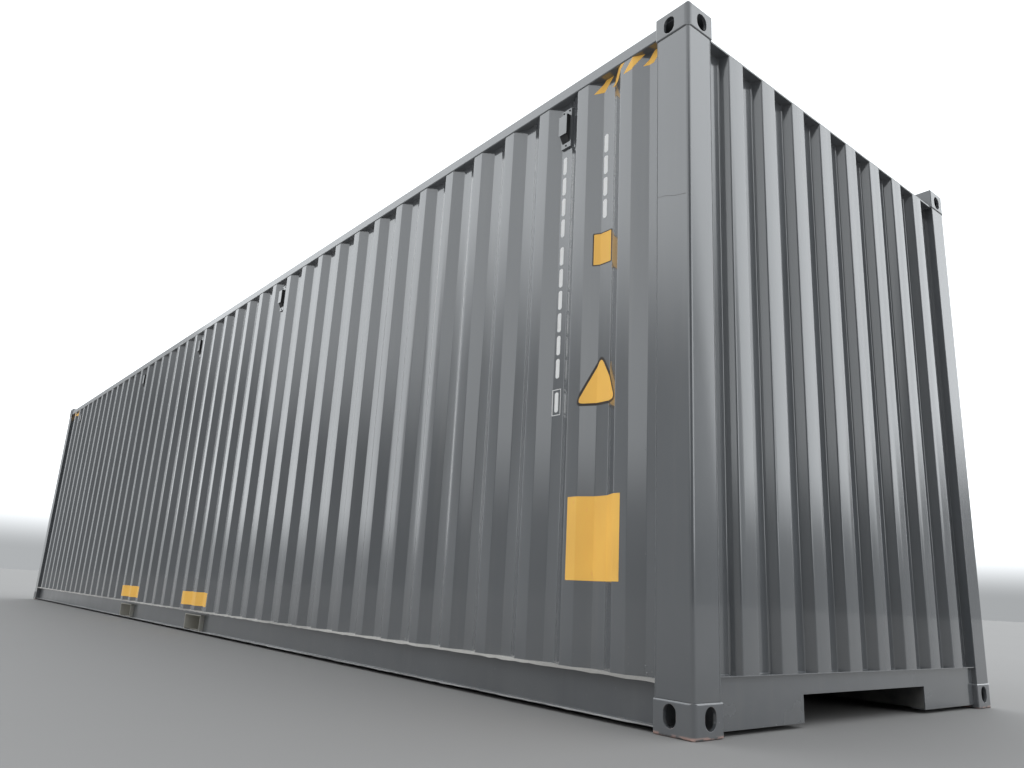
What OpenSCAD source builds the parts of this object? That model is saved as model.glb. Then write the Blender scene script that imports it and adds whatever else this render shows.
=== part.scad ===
// A 40 ft high cube shipping container of corrugated steel.
// The origin is at the middle of the underside. +X points to the blind front wall,
// -X to the doors, +Z up. Right means -Y and left means +Y, as seen from the doors.

/* [Overall size] */
// Length over the corner castings
box_l = 12192; // [12000:1:12250]
// Width over the corner castings
box_w = 2438; // [2400:1:2500]
// Height over the corner castings
box_h = 2896; // [2591:1:2950]

/* [Corner castings] */
// Length of a casting along the container
cast_l = 178; // [172:1:185]
// Width of a casting across the container
cast_w = 162; // [158:1:170]
// Height of a casting
cast_h = 118; // [114:1:124]
// Rounding of a casting's outer upright edge
cast_r = 24; // [16:1:28]
// Rounding of its other upright edges
cast_inner_r = 5; // [3:1:10]
// Rounding of its horizontal edges
cast_edge_r = 8; // [4:1:12]
// Thickness of a casting's outer horizontal wall
cast_plate_t = 28; // [24:1:30]
// Thickness of a casting's upright walls
cast_wall_t = 14; // [10:1:18]
// Thickness of a casting's inner horizontal wall
cast_back_t = 11; // [8:1:14]
// Length of the slot in the horizontal wall
slot_l = 124.5; // [110:0.5:126]
// Width of the slot in the horizontal wall
slot_w = 63.5; // [55:0.5:66]
// Distance from a casting's end face to the middle of its slot
slot_end = 103.5; // [92:0.5:106]
// Distance from a casting's side face to the middle of its slot
slot_side = 89.5; // [82:0.5:92]
// Height of the lashing openings in the upright walls
lash_h = 78; // [70:1:78]
// Width of the lashing opening in the long side
lash_side_w = 55; // [44:1:58]
// Width of the lashing opening in the end
lash_end_w = 63.5; // [56:0.5:66]

/* [Posts] */
// How far the post faces stand inside the castings
post_inset = 4; // [2:1:8]
// Length of a post along the container
post_l = 166; // [150:1:174]
// Width of a front post across the container
front_post_w = 146; // [120:1:150]
// Width of a door post across the container
door_post_w = 45; // [40:1:60]
// Thickness of the post steel
post_t = 6; // [4:0.5:8]
// Rounding of a post's outer corner
post_r = 14; // [9:1:18]
// Rounding of a post's other outer edges
post_edge_r = 4; // [2:0.5:5]
// Width of the inward lips that the walls are welded to
post_lip = 60; // [56:1:80]

/* [Side rails] */
// How far the rails' outer faces stand inside the castings
rail_inset = 6; // [4:1:8]
// Outside size of the square top rail
top_rail_w = 60; // [50:1:70]
// Wall thickness of the top rail
top_rail_t = 3; // [2.5:0.5:5]
// Rounding of the top rail's edges
top_rail_r = 6; // [4:1:10]
// How far the top rail lies below the top of the castings
top_rail_drop = 40; // [36:1:46]
// Height of the bottom rail's lower face above the ground
bottom_rail_z = 17; // [12:0.5:20]
// Height of the bottom rail channel
bottom_rail_h = 158; // [154:1:166]
// Width of its upper flange
bottom_rail_top_w = 48; // [46:1:54]
// Width of its lower flange
bottom_rail_low_w = 38; // [24:1:44]
// Height of the lip turned down from its upper flange
bottom_rail_lip = 10; // [8:1:16]
// Thickness of the bottom rail steel
bottom_rail_t = 4.5; // [4:0.5:6]

/* [Side walls] */
// How far the outer faces of the side walls stand inside the castings
side_inset = 10; // [9:1:11]
// Thickness of the side wall sheet
side_t = 2; // [1.6:0.1:3]
// Distance from one outer face of the corrugation to the next
side_pitch = 278; // [270:1:300]
// Width of an outer face
side_crest = 72; // [60:1:80]
// Run of a sloping face
side_slope = 68; // [60:1:72]
// Depth of the corrugation
side_depth = 36; // [30:1:37]
// Flat sheet between the front post and the first slope
side_lead = 81; // [40:1:90]

/* [Front wall] */
// How far the outer faces of the front wall stand inside the castings
front_inset = 8; // [6:1:10]
// Thickness of the front wall sheet
front_t = 2; // [1.6:0.1:3]
// Distance from one outer face of the corrugation to the next
front_pitch = 250; // [246:1:256]
// Width of an outer face
front_crest = 104; // [96:1:110]
// Run of a sloping face
front_slope = 18; // [12:1:22]
// Depth of the corrugation
front_depth = 45.6; // [36:0.1:48]
// Number of outer faces
front_count = 8; // [6:1:8]

/* [Front frame] */
// Thickness of the ledge over the front wall
ledge_t = 8; // [6:1:10]
// How far the top of the ledge lies below the top of the castings
ledge_drop = 112; // [104:1:116]
// Depth of the tube that stands on the ledge
header_tube_w = 60; // [50:1:70]
// How far that tube stands back from the ledge's edge
header_setback = 54; // [48:1:70]
// Height of the front sill's top above the ground
front_sill_top = 199; // [190:1:210]
// Thickness of the front sill steel
front_sill_t = 4; // [3:0.5:6]
// Depth of the front sill's flanges
front_sill_w = 80; // [70:1:100]
// How far the front sill's web stands back from its upper lip
front_sill_web = 16; // [10:1:24]

/* [Roof] */
// Thickness of the roof sheet
roof_t = 2; // [1.6:0.1:3]
// Distance from one roof rib to the next
roof_pitch = 209; // [190:1:230]
// Height of a roof rib
roof_depth = 20; // [14:1:24]
// Width of a rib's top
roof_crest = 91; // [70:1:100]
// Run of a rib's sloping face
roof_slope = 13.5; // [10:0.5:20]
// Flat margin between the ribs' ends and the castings' outer faces
roof_margin = 110; // [90:1:130]

/* [Floor] */
// Thickness of the plywood floor
floor_t = 28; // [24:1:30]
// Gap between the floor's edges and the steel beside them
floor_gap = 3; // [1:1:6]
// Distance from one cross member to the next
cross_pitch = 305; // [280:1:340]
// Width of a cross member's flanges
cross_w = 45; // [35:1:50]
// Thickness of the cross member steel
cross_t = 4.5; // [4:0.5:6]
// How far the cross members end above the bottom rails' lower face
cross_lift = 5; // [4:1:10]

/* [Fork pockets] */
// Distance between the two pockets' centres
pocket_pitch = 2050; // [1900:1:2100]
// Inside width of a pocket
pocket_w = 360; // [320:1:370]
// Inside height of a pocket
pocket_h = 116; // [112:1:118]
// Thickness of the pocket plates
pocket_t = 6; // [4:0.5:8]
// Width of the strap under each end of a pocket
pocket_strap = 200; // [120:1:240]

/* [Gooseneck tunnel] */
// Length of the tunnel from the front castings' end faces
tunnel_l = 3315; // [3150:1:3500]
// Clear width of the tunnel
tunnel_w = 1029; // [1029:1:1070]
// Height of the tunnel's ceiling above the ground
tunnel_h = 120; // [117:1:121]
// Thickness of the tunnel's ceiling plate
tunnel_t = 4; // [3:0.5:5]
// Thickness of the tunnel's side plates
tunnel_side_t = 5; // [4:0.5:6]
// Width of a bow between the ceiling and the floor
bow_w = 50; // [40:1:80]

/* [Doors] */
// How far the doors' outer faces stand inside the castings
door_inset = 56; // [52:1:60]
// Thickness of a door leaf's frame
door_t = 50; // [40:1:50]
// Clearance round the leaves that the gasket fills
door_gap = 13; // [10:1:16]
// Gap between the two leaves
door_middle_gap = 10; // [8:1:20]
// Width of the leaf frame's upright tubes
stile_w = 100; // [80:1:120]
// Height of the leaf frame's horizontal tubes
door_rail_h = 150; // [100:1:160]
// Wall thickness of the leaf frame's tubes
door_tube_t = 3.2; // [2.5:0.1:5]
// Thickness of a door panel
door_panel_t = 2; // [1.6:0.1:3]
// Number of grooves across a door panel
groove_count = 5; // [3:1:6]
// Width of a groove at the panel's face
groove_w = 120; // [100:1:140]
// Run of a groove's sloping face
groove_slope = 30; // [20:1:40]
// Depth of a groove
groove_depth = 30; // [20:1:34]
// Top of the door sill above the ground
door_sill_top = 152; // [148:1:158]
// Depth of the door sill box
door_sill_w = 54; // [52:1:60]
// Thickness of the door sill steel
door_sill_t = 5; // [4:0.5:6]
// Underside of the door header below the top of the castings
door_header_drop = 155; // [140:1:160]
// Depth of the door header box
door_header_w = 90; // [70:1:110]
// Thickness of the door header steel
door_header_t = 4; // [3:0.5:6]

/* [Door gear] */
// Diameter of a locking rod
rod_d = 34; // [26:1:36]
// Height of a cam keeper
keeper_h = 60; // [40:1:70]
// Thickness of a cam keeper's lugs
keeper_t = 7; // [5:1:8]
// Clearance between a keeper and the edge of the sill or header it stands on
keeper_edge = 5; // [3:1:10]
// Clearance between a cam and its keeper
cam_gap = 2; // [1:0.5:3]
// Clearance between a locking rod and the door leaf
rod_gap = 7; // [4:1:7]
// Distance of a leaf's inner rod from the leaf's inner edge
rod_inner = 265; // [220:5:300]
// Distance of a leaf's outer rod from the leaf's outer edge
rod_outer = 327; // [280:5:350]
// Distance of the top and bottom guide brackets from the leaf's edges
guide_edge = 180; // [120:5:240]
// Distance of the middle guide brackets from the handles
guide_clear = 140; // [90:5:200]
// Height of a guide bracket
guide_h = 60; // [40:1:80]
// Width of a guide bracket's foot on the leaf
guide_w = 90; // [70:1:110]
// Thickness of the steel round a rod in its brackets and hubs
guide_t = 5; // [4:0.5:6]
// Length of a rod handle
handle_l = 430; // [380:5:440]
// Height of a rod handle's bar
handle_h = 32; // [25:1:40]
// Thickness of a rod handle's bar
handle_t = 12; // [8:1:14]
// Height of the lower handles above the ground
handle_z = 1160; // [1050:10:1250]
// Height between the lower and the upper handles
handle_step = 170; // [120:10:220]
// Number of hinges on a leaf
hinge_count = 4; // [3:1:5]
// Height of a hinge
hinge_h = 160; // [120:1:200]
// Diameter of a hinge's knuckle
hinge_d = 32; // [26:1:34]
// Clearance between a hinge's knuckle and the post
hinge_gap = 3; // [1:0.5:5]
// Thickness of a hinge's blade
hinge_t = 10; // [8:1:12]
// Width of a hinge's blade on the leaf
hinge_blade = 130; // [100:1:180]

/* [Ventilators] */
// Width of a ventilator's base plate
vent_w = 54; // [44:1:56]
// Height of a ventilator's base plate
vent_plate_h = 210; // [180:1:240]
// Width of a ventilator's hood
vent_hood_w = 46; // [38:1:52]
// Height of a ventilator's hood
vent_hood_h = 125; // [100:1:150]
// How far the hood stands out from the wall sheet
vent_depth = 36; // [20:1:40]
// Thickness of the ventilator sheet
vent_t = 2; // [1.5:0.5:3]
// Top of the base plate below the top rail's lower face
vent_drop = 26; // [15:1:60]
// Number of corrugations between neighbouring middle ventilators
vent_step = 7; // [5:1:8]

/* [Hidden] */
$fn = 48;
SIDES = ["left", "right"];
ENDS = ["front", "door"];
LEVELS = ["top", "bottom"];

// Planes that several pieces share, in the half where x and y are positive
end_x = box_l / 2;
side_y = box_w / 2;
slot_x = end_x - slot_end;
slot_y = side_y - slot_side;
inner_x = end_x - cast_l;
inner_y = side_y - cast_w;
post_x = end_x - post_inset - post_l;
front_post_y = side_y - post_inset - front_post_w;
door_post_y = side_y - post_inset - door_post_w;
post_low = cast_h;
post_high = box_h - cast_h;

// Rails
rail_y = side_y - rail_inset;
top_rail_high = box_h - top_rail_drop;
top_rail_low = top_rail_high - top_rail_w;
bottom_rail_high = bottom_rail_z + bottom_rail_h;
web_y = rail_y - bottom_rail_top_w;

// Floor and what carries it
pocket_low = bottom_rail_z + bottom_rail_t;
floor_low = pocket_low + pocket_h + pocket_t;
floor_high = floor_low + floor_t;
cross_low = bottom_rail_z + cross_lift;

// Front frame
ledge_high = box_h - ledge_drop;
ledge_low = ledge_high - ledge_t;
front_x = end_x - front_inset;
front_web_x = front_x - front_sill_web;
tunnel_x = end_x - tunnel_l;

// Door end, measured towards the doors
door_x = end_x - door_inset;
door_in_x = door_x - door_t;
sill_in_x = door_x - door_sill_w;
opening_high = box_h - door_header_drop;
leaf_low = door_sill_top + door_gap;
leaf_high = opening_high - door_gap;
leaf_in = door_middle_gap / 2;
leaf_out = door_post_y - door_gap;
rod_x = door_x + rod_gap + rod_d / 2;
hinge_x = door_x + hinge_d / 2;
hinge_y = door_post_y - hinge_gap - hinge_d / 2;
rod_places = [leaf_in + rod_inner, leaf_out - rod_outer];
guide_places = [
    leaf_low + guide_edge, handle_z - guide_clear,
    handle_z + handle_step + guide_clear, leaf_high - guide_edge
];
keeper_low = door_sill_top - keeper_edge - keeper_h;
keeper_high = opening_high + keeper_edge + keeper_h;

// Corrugation of the side walls
side_face_y = side_y - side_inset;
side_n = floor((post_x * 2 - side_lead - 2 * side_slope - side_crest) / side_pitch) + 1;
side_first_x = post_x - side_lead - side_slope;
side_valley = side_pitch - side_crest - 2 * side_slope;

// Corrugation of the roof
roof_n = floor((2 * inner_x - roof_pitch) / roof_pitch);
roof_end_x = front_x - header_setback - 4;

// Small overlap that keeps cuts clean
cut = 1;
steel = [0.24, 0.26, 0.28];
rail_grey = [0.52, 0.54, 0.55];
timber = [0.52, 0.40, 0.27];
rubber = [0.06, 0.06, 0.06];
zinc = [0.60, 0.61, 0.62];

// Signs of a place from its name
function side_sign(s) = s == "left" ? 1 : -1;
function end_sign(e) = e == "front" ? 1 : -1;
function valley_x(i) = side_first_x - i * side_pitch - side_crest - side_slope - side_valley / 2;

// Points of a trapezoid wave of n raised faces whose middles lie at start + i * pitch.
// The slopes that rise are shifted by +shift, and those that fall by -shift.
function wave(n, start, pitch, crest, slope, low, high, shift) = [
    for (i = [0:n - 1])
        let (a = start + i * pitch - crest / 2, b = a + crest)
            each [[a - slope + shift, low], [a + shift, high], [b - shift, high], [b + slope - shift, low]]
];

// Half-angle shift that keeps a folded sheet at one thickness
function fold_shift(slope, depth, t) = t * tan(atan2(depth, slope) / 2);

// Outline of a folded sheet from end to end: its face side, then its back side reversed
function sheet(n, start, pitch, crest, slope, depth, t, from, to, face) =
    let (
        s = fold_shift(slope, depth, t),
        outer = wave(n, start, pitch, crest, slope, face - depth, face, 0),
        inner = wave(n, start, pitch, crest, slope, face - depth - t, face - t, s),
        back = [for (i = [len(inner) - 1:-1:0]) inner[i]]
    )
    concat([[from, face - depth]], outer, [[to, face - depth], [to, face - depth - t]], back,
        [[from, face - depth - t]]);

// Mirrors what is built for the positive half
module at_side(s) { mirror([0, s == "left" ? 0 : 1, 0]) children(); }
module at_end(e) { mirror([e == "front" ? 0 : 1, 0, 0]) children(); }
module at_level(l) {
    if (l == "top") translate([0, 0, box_h]) mirror([0, 0, 1]) children();
    else children();
}

// Rectangle from the origin with rounded corners
module round_rect(a, b, r) {
    translate([r, 0]) square([a - 2 * r, b]);
    translate([0, r]) square([a, b - 2 * r]);
    for (x = [r, a - r], y = [r, b - r]) translate([x, y]) circle(r);
}

// Rectangle from the origin that is rounded by r at its far corner and by q at the two beside it
module corner_rect(a, b, r, q) {
    square([a - r, b - r]);
    translate([0, b / 2]) round_rect(a - r, b / 2, q);
    translate([a / 2, 0]) round_rect(a / 2, b - r, q);
    translate([a / 2, b / 2]) square([a / 2 - r, b / 2]);
    translate([a / 2, b / 2]) square([a / 2, b / 2 - r]);
    translate([a - r, b - r]) circle(r);
}

// Slot with round ends, centred, running along its first axis
module slot(length, width) {
    square([length - width, width], center = true);
    for (x = [-1, 1]) translate([x * (length - width) / 2, 0]) circle(width / 2);
}

// Block between two corners
module span(low, high) { translate(low) cube(high - low); }

// Extrudes an outline in the XZ plane along Y between two places
module along_y(from, to) { translate([0, to, 0]) rotate([90, 0, 0]) linear_extrude(to - from) children(); }

// Extrudes an outline in the YZ plane along X between two places
module along_x(from, to) {
    translate([from, 0, 0]) rotate([90, 0, 90]) linear_extrude(to - from) children();
}

// Blocks that hold the four castings of one half, for notching what passes them
module casting_blocks(e) {
    at_end(e) for (s = SIDES, l = LEVELS) at_side(s) at_level(l)
        span([inner_x, inner_y, -cut], [end_x + cut, side_y + cut, cast_h]);
}

// A corner casting: a hollow block with three openings
module casting_solid() {
    intersection() {
        translate([inner_x, inner_y, 0]) linear_extrude(cast_h)
            corner_rect(cast_l, cast_w, cast_r, cast_inner_r);
        along_y(inner_y, side_y) translate([inner_x, 0]) round_rect(cast_l, cast_h, cast_edge_r);
        along_x(inner_x, end_x) translate([inner_y, 0]) round_rect(cast_w, cast_h, cast_edge_r);
    }
}

module casting(e, s, l) {
    lash_z = cast_plate_t + lash_h / 2 - cut;
    color(steel) at_end(e) at_side(s) at_level(l) difference() {
        casting_solid();
        span([inner_x + cast_wall_t, inner_y + cast_wall_t, cast_plate_t],
            [end_x - cast_wall_t, side_y - cast_wall_t, cast_h - cast_back_t]);
        translate([slot_x, slot_y, -cut])
            linear_extrude(cast_plate_t + 2 * cut) slot(slot_l, slot_w);
        along_y(side_y - cast_wall_t - cut, side_y + cut)
            translate([slot_x, lash_z]) rotate(90) slot(lash_h, lash_side_w);
        along_x(end_x - cast_wall_t - cut, end_x + cut)
            translate([slot_y, lash_z]) rotate(90) slot(lash_h, lash_end_w);
    }
}

// A front post: an angle of bent steel with a rounded corner and two inward lips
module front_post(s) {
    color(steel) at_side(s) translate([post_x, front_post_y, post_low]) linear_extrude(post_high - post_low)
        difference() {
            corner_rect(post_l, front_post_w, post_r, post_edge_r);
            translate([post_t, post_t])
                corner_rect(post_l - 2 * post_t, front_post_w - 2 * post_t, post_r - post_t, cut);
            translate([-cut, -cut]) square([post_l - post_lip + cut, front_post_w - post_lip + cut]);
        }
}

// A door post: a closed tube beside the door opening
module door_post(s) {
    color(steel) at_end("door") at_side(s) translate([post_x, door_post_y, post_low])
        linear_extrude(post_high - post_low) difference() {
            corner_rect(post_l, door_post_w, post_r, post_edge_r);
            translate([post_t, post_t])
                corner_rect(post_l - 2 * post_t, door_post_w - 2 * post_t, post_r - post_t, cut);
        }
}

// The ledge over the front wall and the tube that stands back on it
module front_header() {
    ledge_in = front_x - header_setback - header_tube_w;
    color(steel) {
        span([ledge_in, -inner_y, ledge_low], [front_x, inner_y, ledge_high]);
        along_y(-inner_y, inner_y) translate([ledge_in, ledge_high]) difference() {
            square([header_tube_w, top_rail_high - ledge_high]);
            translate([top_rail_t, top_rail_t])
                square([header_tube_w - 2 * top_rail_t, top_rail_high - ledge_high - 2 * top_rail_t]);
        }
    }
}

// The channel under the front wall, notched for the castings and the tunnel
module front_sill() {
    t = front_sill_t;
    color(steel) difference() {
        along_y(-front_post_y, front_post_y) polygon([
            [front_x - front_sill_w, bottom_rail_z], [front_web_x, bottom_rail_z],
            [front_web_x, front_sill_top - t], [front_x, front_sill_top - t],
            [front_x, front_sill_top], [front_x - front_sill_w, front_sill_top],
            [front_x - front_sill_w, front_sill_top - t], [front_web_x - t, front_sill_top - t],
            [front_web_x - t, bottom_rail_z + t], [front_x - front_sill_w, bottom_rail_z + t]
        ]);
        casting_blocks("front");
        span([0, -tunnel_w / 2, 0], [end_x, tunnel_w / 2, tunnel_h]);
    }
}

// The box under the doors with the threshold behind it
module door_sill() {
    t = door_sill_t;
    color(steel) at_end("door") difference() {
        along_y(-door_post_y, door_post_y) difference() {
            union() {
                translate([sill_in_x, bottom_rail_z]) square([door_sill_w, door_sill_top - bottom_rail_z]);
                translate([sill_in_x, bottom_rail_z]) square([t, floor_high - bottom_rail_z]);
            }
            translate([sill_in_x + t, bottom_rail_z + t])
                square([door_sill_w - 2 * t, door_sill_top - bottom_rail_z - 2 * t]);
        }
        casting_blocks("front");
    }
}

// The box over the doors
module door_header() {
    t = door_header_t;
    h = top_rail_high - opening_high;
    color(steel) at_end("door") difference() {
        along_y(-door_post_y, door_post_y) translate([door_x - door_header_w, opening_high]) difference() {
            square([door_header_w, h]);
            translate([t, t]) square([door_header_w - 2 * t, h - 2 * t]);
        }
        casting_blocks("front");
    }
}

// A square tube along the top of a side
module top_rail(s) {
    w = top_rail_w;
    t = top_rail_t;
    color(rail_grey) at_side(s) along_x(-inner_x, inner_x) translate([rail_y - w, top_rail_low])
        difference() {
            round_rect(w, w, top_rail_r);
            translate([t, t]) round_rect(w - 2 * t, w - 2 * t, top_rail_r - t);
        }
}

// A channel along the bottom of a side, open outwards, with holes for the fork pockets
module bottom_rail(s) {
    t = bottom_rail_t;
    color(steel) at_side(s) difference() {
        along_x(-post_x, post_x) polygon([
            [web_y, bottom_rail_z], [web_y + bottom_rail_low_w, bottom_rail_z],
            [web_y + bottom_rail_low_w, bottom_rail_z + t], [web_y + t, bottom_rail_z + t],
            [web_y + t, bottom_rail_high - t], [rail_y - t, bottom_rail_high - t],
            [rail_y - t, bottom_rail_high - bottom_rail_lip], [rail_y, bottom_rail_high - bottom_rail_lip],
            [rail_y, bottom_rail_high], [web_y, bottom_rail_high]
        ]);
        casting_blocks("front");
        casting_blocks("door");
        for (x = [-1, 1]) span(
            [x * pocket_pitch / 2 - pocket_w / 2 - pocket_t, web_y - cut, pocket_low],
            [x * pocket_pitch / 2 + pocket_w / 2 + pocket_t, web_y + t + cut, floor_low]
        );
    }
}

// A corrugated side wall, notched at its upper ends for the castings
module side_wall(s) {
    start = side_first_x - side_crest / 2 - (side_n - 1) * side_pitch;
    color(steel) at_side(s) difference() {
        translate([0, 0, bottom_rail_high]) linear_extrude(top_rail_low - bottom_rail_high)
            polygon(sheet(side_n, start, side_pitch, side_crest, side_slope, side_depth, side_t,
                -post_x, post_x, side_face_y));
        casting_blocks("front");
        casting_blocks("door");
    }
}

// The corrugated front wall
module front_wall() {
    start = -(front_count - 1) * front_pitch / 2;
    color(steel) translate([0, 0, front_sill_top]) mirror([1, 0, 0]) rotate(90)
        linear_extrude(ledge_low - front_sill_top)
            polygon(sheet(front_count, start, front_pitch, front_crest, front_slope, front_depth, front_t,
                -front_post_y, front_post_y, front_x));
}

// The roof sheet with ribs across it, closed at the ribs' ends
module roof() {
    start = -(roof_n - 1) * roof_pitch / 2;
    rib_y = side_y - roof_margin;
    base = top_rail_high;
    top = base + roof_t + roof_depth;
    ribs = wave(roof_n, start, roof_pitch, roof_crest, roof_slope, base + roof_t, top, 0);
    color(steel) difference() {
        union() {
            along_y(-rib_y, rib_y)
                polygon(sheet(roof_n, start, roof_pitch, roof_crest, roof_slope, roof_depth,
                    roof_t, -roof_end_x, roof_end_x, top));
            for (s = SIDES) at_side(s) {
                along_y(rib_y - roof_t, rib_y)
                    polygon(concat([[-roof_end_x, base], [-roof_end_x, base + roof_t]], ribs,
                        [[roof_end_x, base + roof_t], [roof_end_x, base]]));
                span([-roof_end_x, rib_y - roof_t, base], [roof_end_x, rail_y - top_rail_r, base + roof_t]);
            }
        }
        casting_blocks("front");
        casting_blocks("door");
    }
}

// The plywood floor
module floor_boards() {
    color(timber) difference() {
        span([-sill_in_x, -web_y + floor_gap, floor_low],
            [front_web_x - front_sill_t - floor_gap, web_y - floor_gap, floor_high]);
        for (s = SIDES) at_side(s) span([post_x - floor_gap, front_post_y - floor_gap, floor_low - cut],
            [end_x, side_y, floor_high + cut]);
    }
}

// Outline of a channel that carries the floor
module cross_outline() {
    h = floor_low - cross_low;
    polygon([
        [0, 0], [cross_w, 0], [cross_w, cross_t], [cross_t, cross_t],
        [cross_t, h - cross_t], [cross_w, h - cross_t], [cross_w, h], [0, h]
    ]);
}

// Places of the cross members, counted from the door sill
function cross_places() = [
    for (x = [-sill_in_x + cross_pitch:cross_pitch:inner_x - cross_w]) x
];
function clears_pockets(x) =
    abs(abs(x + cross_w / 2) - pocket_pitch / 2) > pocket_w / 2 + pocket_t + cross_w / 2 + cross_t;
function clears_tunnel_end(x) = x + cross_w < tunnel_x - tunnel_side_t || x > tunnel_x + cross_t;

module cross_members() {
    side_in = tunnel_w / 2 + tunnel_side_t;
    color(steel) for (x = cross_places())
        if (clears_pockets(x) && clears_tunnel_end(x)) translate([x, 0, cross_low]) {
            if (x < tunnel_x) along_y(-web_y, web_y) cross_outline();
            else for (s = SIDES) at_side(s) along_y(side_in, web_y) cross_outline();
        }
}

// The recess under the front half: sides, ceiling, inner end and the bows under the floor
module gooseneck_tunnel() {
    outer = tunnel_w / 2 + tunnel_side_t;
    high = tunnel_h + tunnel_t;
    reach = front_web_x - front_sill_t;
    color(steel) {
        for (s = SIDES) at_side(s)
            span([tunnel_x, tunnel_w / 2, cross_low], [reach - front_sill_w, outer, floor_low]);
        for (s = SIDES) at_side(s) span([tunnel_x, tunnel_w / 2, cross_low], [reach, outer, high]);
        span([tunnel_x, -outer, tunnel_h], [reach, outer, high]);
        span([tunnel_x - tunnel_side_t, -web_y, cross_low], [tunnel_x, web_y, floor_low]);
        for (x = cross_places()) if (x > tunnel_x + cross_t)
            span([x, -outer, high - cut], [x + bow_w, outer, floor_low]);
    }
}

// The two fork pockets: sleeves through the bottom rails, with a strap under each end
module fork_pockets() {
    half = pocket_w / 2 + pocket_t;
    reach = web_y + bottom_rail_low_w;
    color(steel) for (x = [-1, 1]) translate([x * pocket_pitch / 2, 0, 0]) {
        along_y(-reach, reach) difference() {
            translate([-half, pocket_low]) square([2 * half, pocket_h + pocket_t]);
            translate([-pocket_w / 2, pocket_low - cut]) square([pocket_w, pocket_h + cut]);
        }
        for (s = SIDES) at_side(s)
            span([-half, web_y - pocket_strap, bottom_rail_z], [half, web_y, pocket_low]);
    }
}

// The frame of a door leaf, of welded tubes
module door_frame(s) {
    t = door_tube_t;
    color(steel) at_end("door") at_side(s) difference() {
        span([door_in_x, leaf_in, leaf_low], [door_x, leaf_out, leaf_high]);
        span([door_in_x - cut, leaf_in + stile_w, leaf_low + door_rail_h],
            [door_x + cut, leaf_out - stile_w, leaf_high - door_rail_h]);
        for (y = [leaf_in, leaf_out - stile_w]) span([door_in_x + t, y + t, leaf_low + t],
            [door_x - t, y + stile_w - t, leaf_high - t]);
        for (z = [leaf_low, leaf_high - door_rail_h]) span([door_in_x + t, leaf_in + stile_w, z + t],
            [door_x - t, leaf_out - stile_w, z + door_rail_h - t]);
    }
}

// The panel of a door leaf, with grooves across it
module door_panel(s) {
    low = leaf_low + door_rail_h;
    high = leaf_high - door_rail_h;
    pitch = (high - low) / groove_count;
    crest = pitch - groove_w;
    face = door_x - door_tube_t;
    color(steel) at_end("door") at_side(s) translate([0, leaf_out - stile_w, 0]) rotate([90, 0, 0])
        linear_extrude(leaf_out - leaf_in - 2 * stile_w) mirror([1, -1])
            polygon(sheet(groove_count, low + pitch / 2, pitch, crest, groove_slope, groove_depth,
                door_panel_t, low, high, face));
}

// Heights of the hinges, spread evenly over the leaf
hinge_pitch = (leaf_high - leaf_low - 4 * hinge_h) / (hinge_count - 1);
hinge_places = [for (i = [0:hinge_count - 1]) leaf_low + 2 * hinge_h + i * hinge_pitch];

// The hinges of a leaf: lugs on the post, a knuckle and a blade on the leaf
module door_hinges(s) {
    lug = hinge_h / 4;
    half = hinge_h / 2;
    color(steel) at_end("door") at_side(s) for (z = hinge_places) translate([0, 0, z]) {
        translate([hinge_x, hinge_y, -half]) cylinder(h = hinge_h, d = hinge_d);
        for (low = [-half, half - lug])
            span([hinge_x - hinge_t / 2, hinge_y, low], [hinge_x + hinge_t / 2, door_post_y, low + lug]);
        span([door_x, hinge_y - hinge_blade, lug - half], [door_x + hinge_t, hinge_y, half - lug]);
    }
}

// Both rods of a leaf with their cams and guide brackets
module lock_rods(s) {
    cam = rod_d / 2 + rod_gap - cam_gap;
    wrap = rod_d / 2 + guide_t;
    color(zinc) at_end("door") at_side(s) for (y = rod_places) translate([0, y, 0]) {
        translate([rod_x, 0, keeper_low]) cylinder(h = keeper_high - keeper_low, d = rod_d);
        for (z = [keeper_low, keeper_high - keeper_h]) span([door_x + cam_gap, -cam, z + keeper_h / 4],
            [rod_x + rod_d / 2, cam, z + keeper_h * 3 / 4]);
        for (z = guide_places) {
            span([door_x, -guide_w / 2, z - guide_h / 2], [door_x + guide_t, guide_w / 2, z + guide_h / 2]);
            span([door_x, -wrap, z - guide_h / 2], [rod_x + wrap, wrap, z + guide_h / 2]);
        }
    }
}

// The handles of a leaf, each with a hub on its rod and a catch on the leaf
module lock_handles(s) {
    wrap = rod_d / 2 + guide_t;
    bar_x = rod_x + wrap - handle_t;
    color(zinc) at_end("door") at_side(s) for (k = [0, 1]) {
        y = rod_places[k];
        way = k == 0 ? 1 : -1;
        far = y + way * handle_l;
        catch = far - way * handle_h;
        translate([0, 0, handle_z + k * handle_step]) {
            difference() {
                union() {
                    span([rod_x - wrap, y - wrap, -handle_h], [rod_x + wrap, y + wrap, handle_h]);
                    span([bar_x, min(y, far), -handle_h / 2], [bar_x + handle_t, max(y, far), handle_h / 2]);
                }
                translate([rod_x, y, -handle_h - cut]) cylinder(h = 2 * handle_h + 2 * cut, d = rod_d);
            }
            span([door_x, catch - handle_h / 2, -handle_h], [bar_x, catch + handle_h / 2, handle_h / 2]);
        }
    }
}

// The keepers on the sill and the header, two lugs beside each cam
module cam_keepers() {
    color(zinc) at_end("door") for (s = SIDES, y = rod_places) at_side(s)
        for (z = [keeper_low, keeper_high - keeper_h], k = [-1, 1])
            translate([door_x, y + k * (rod_d / 2 + rod_gap + keeper_t / 2) - keeper_t / 2, z])
                cube([rod_x + rod_d / 2 - door_x, keeper_t, keeper_h]);
}

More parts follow.
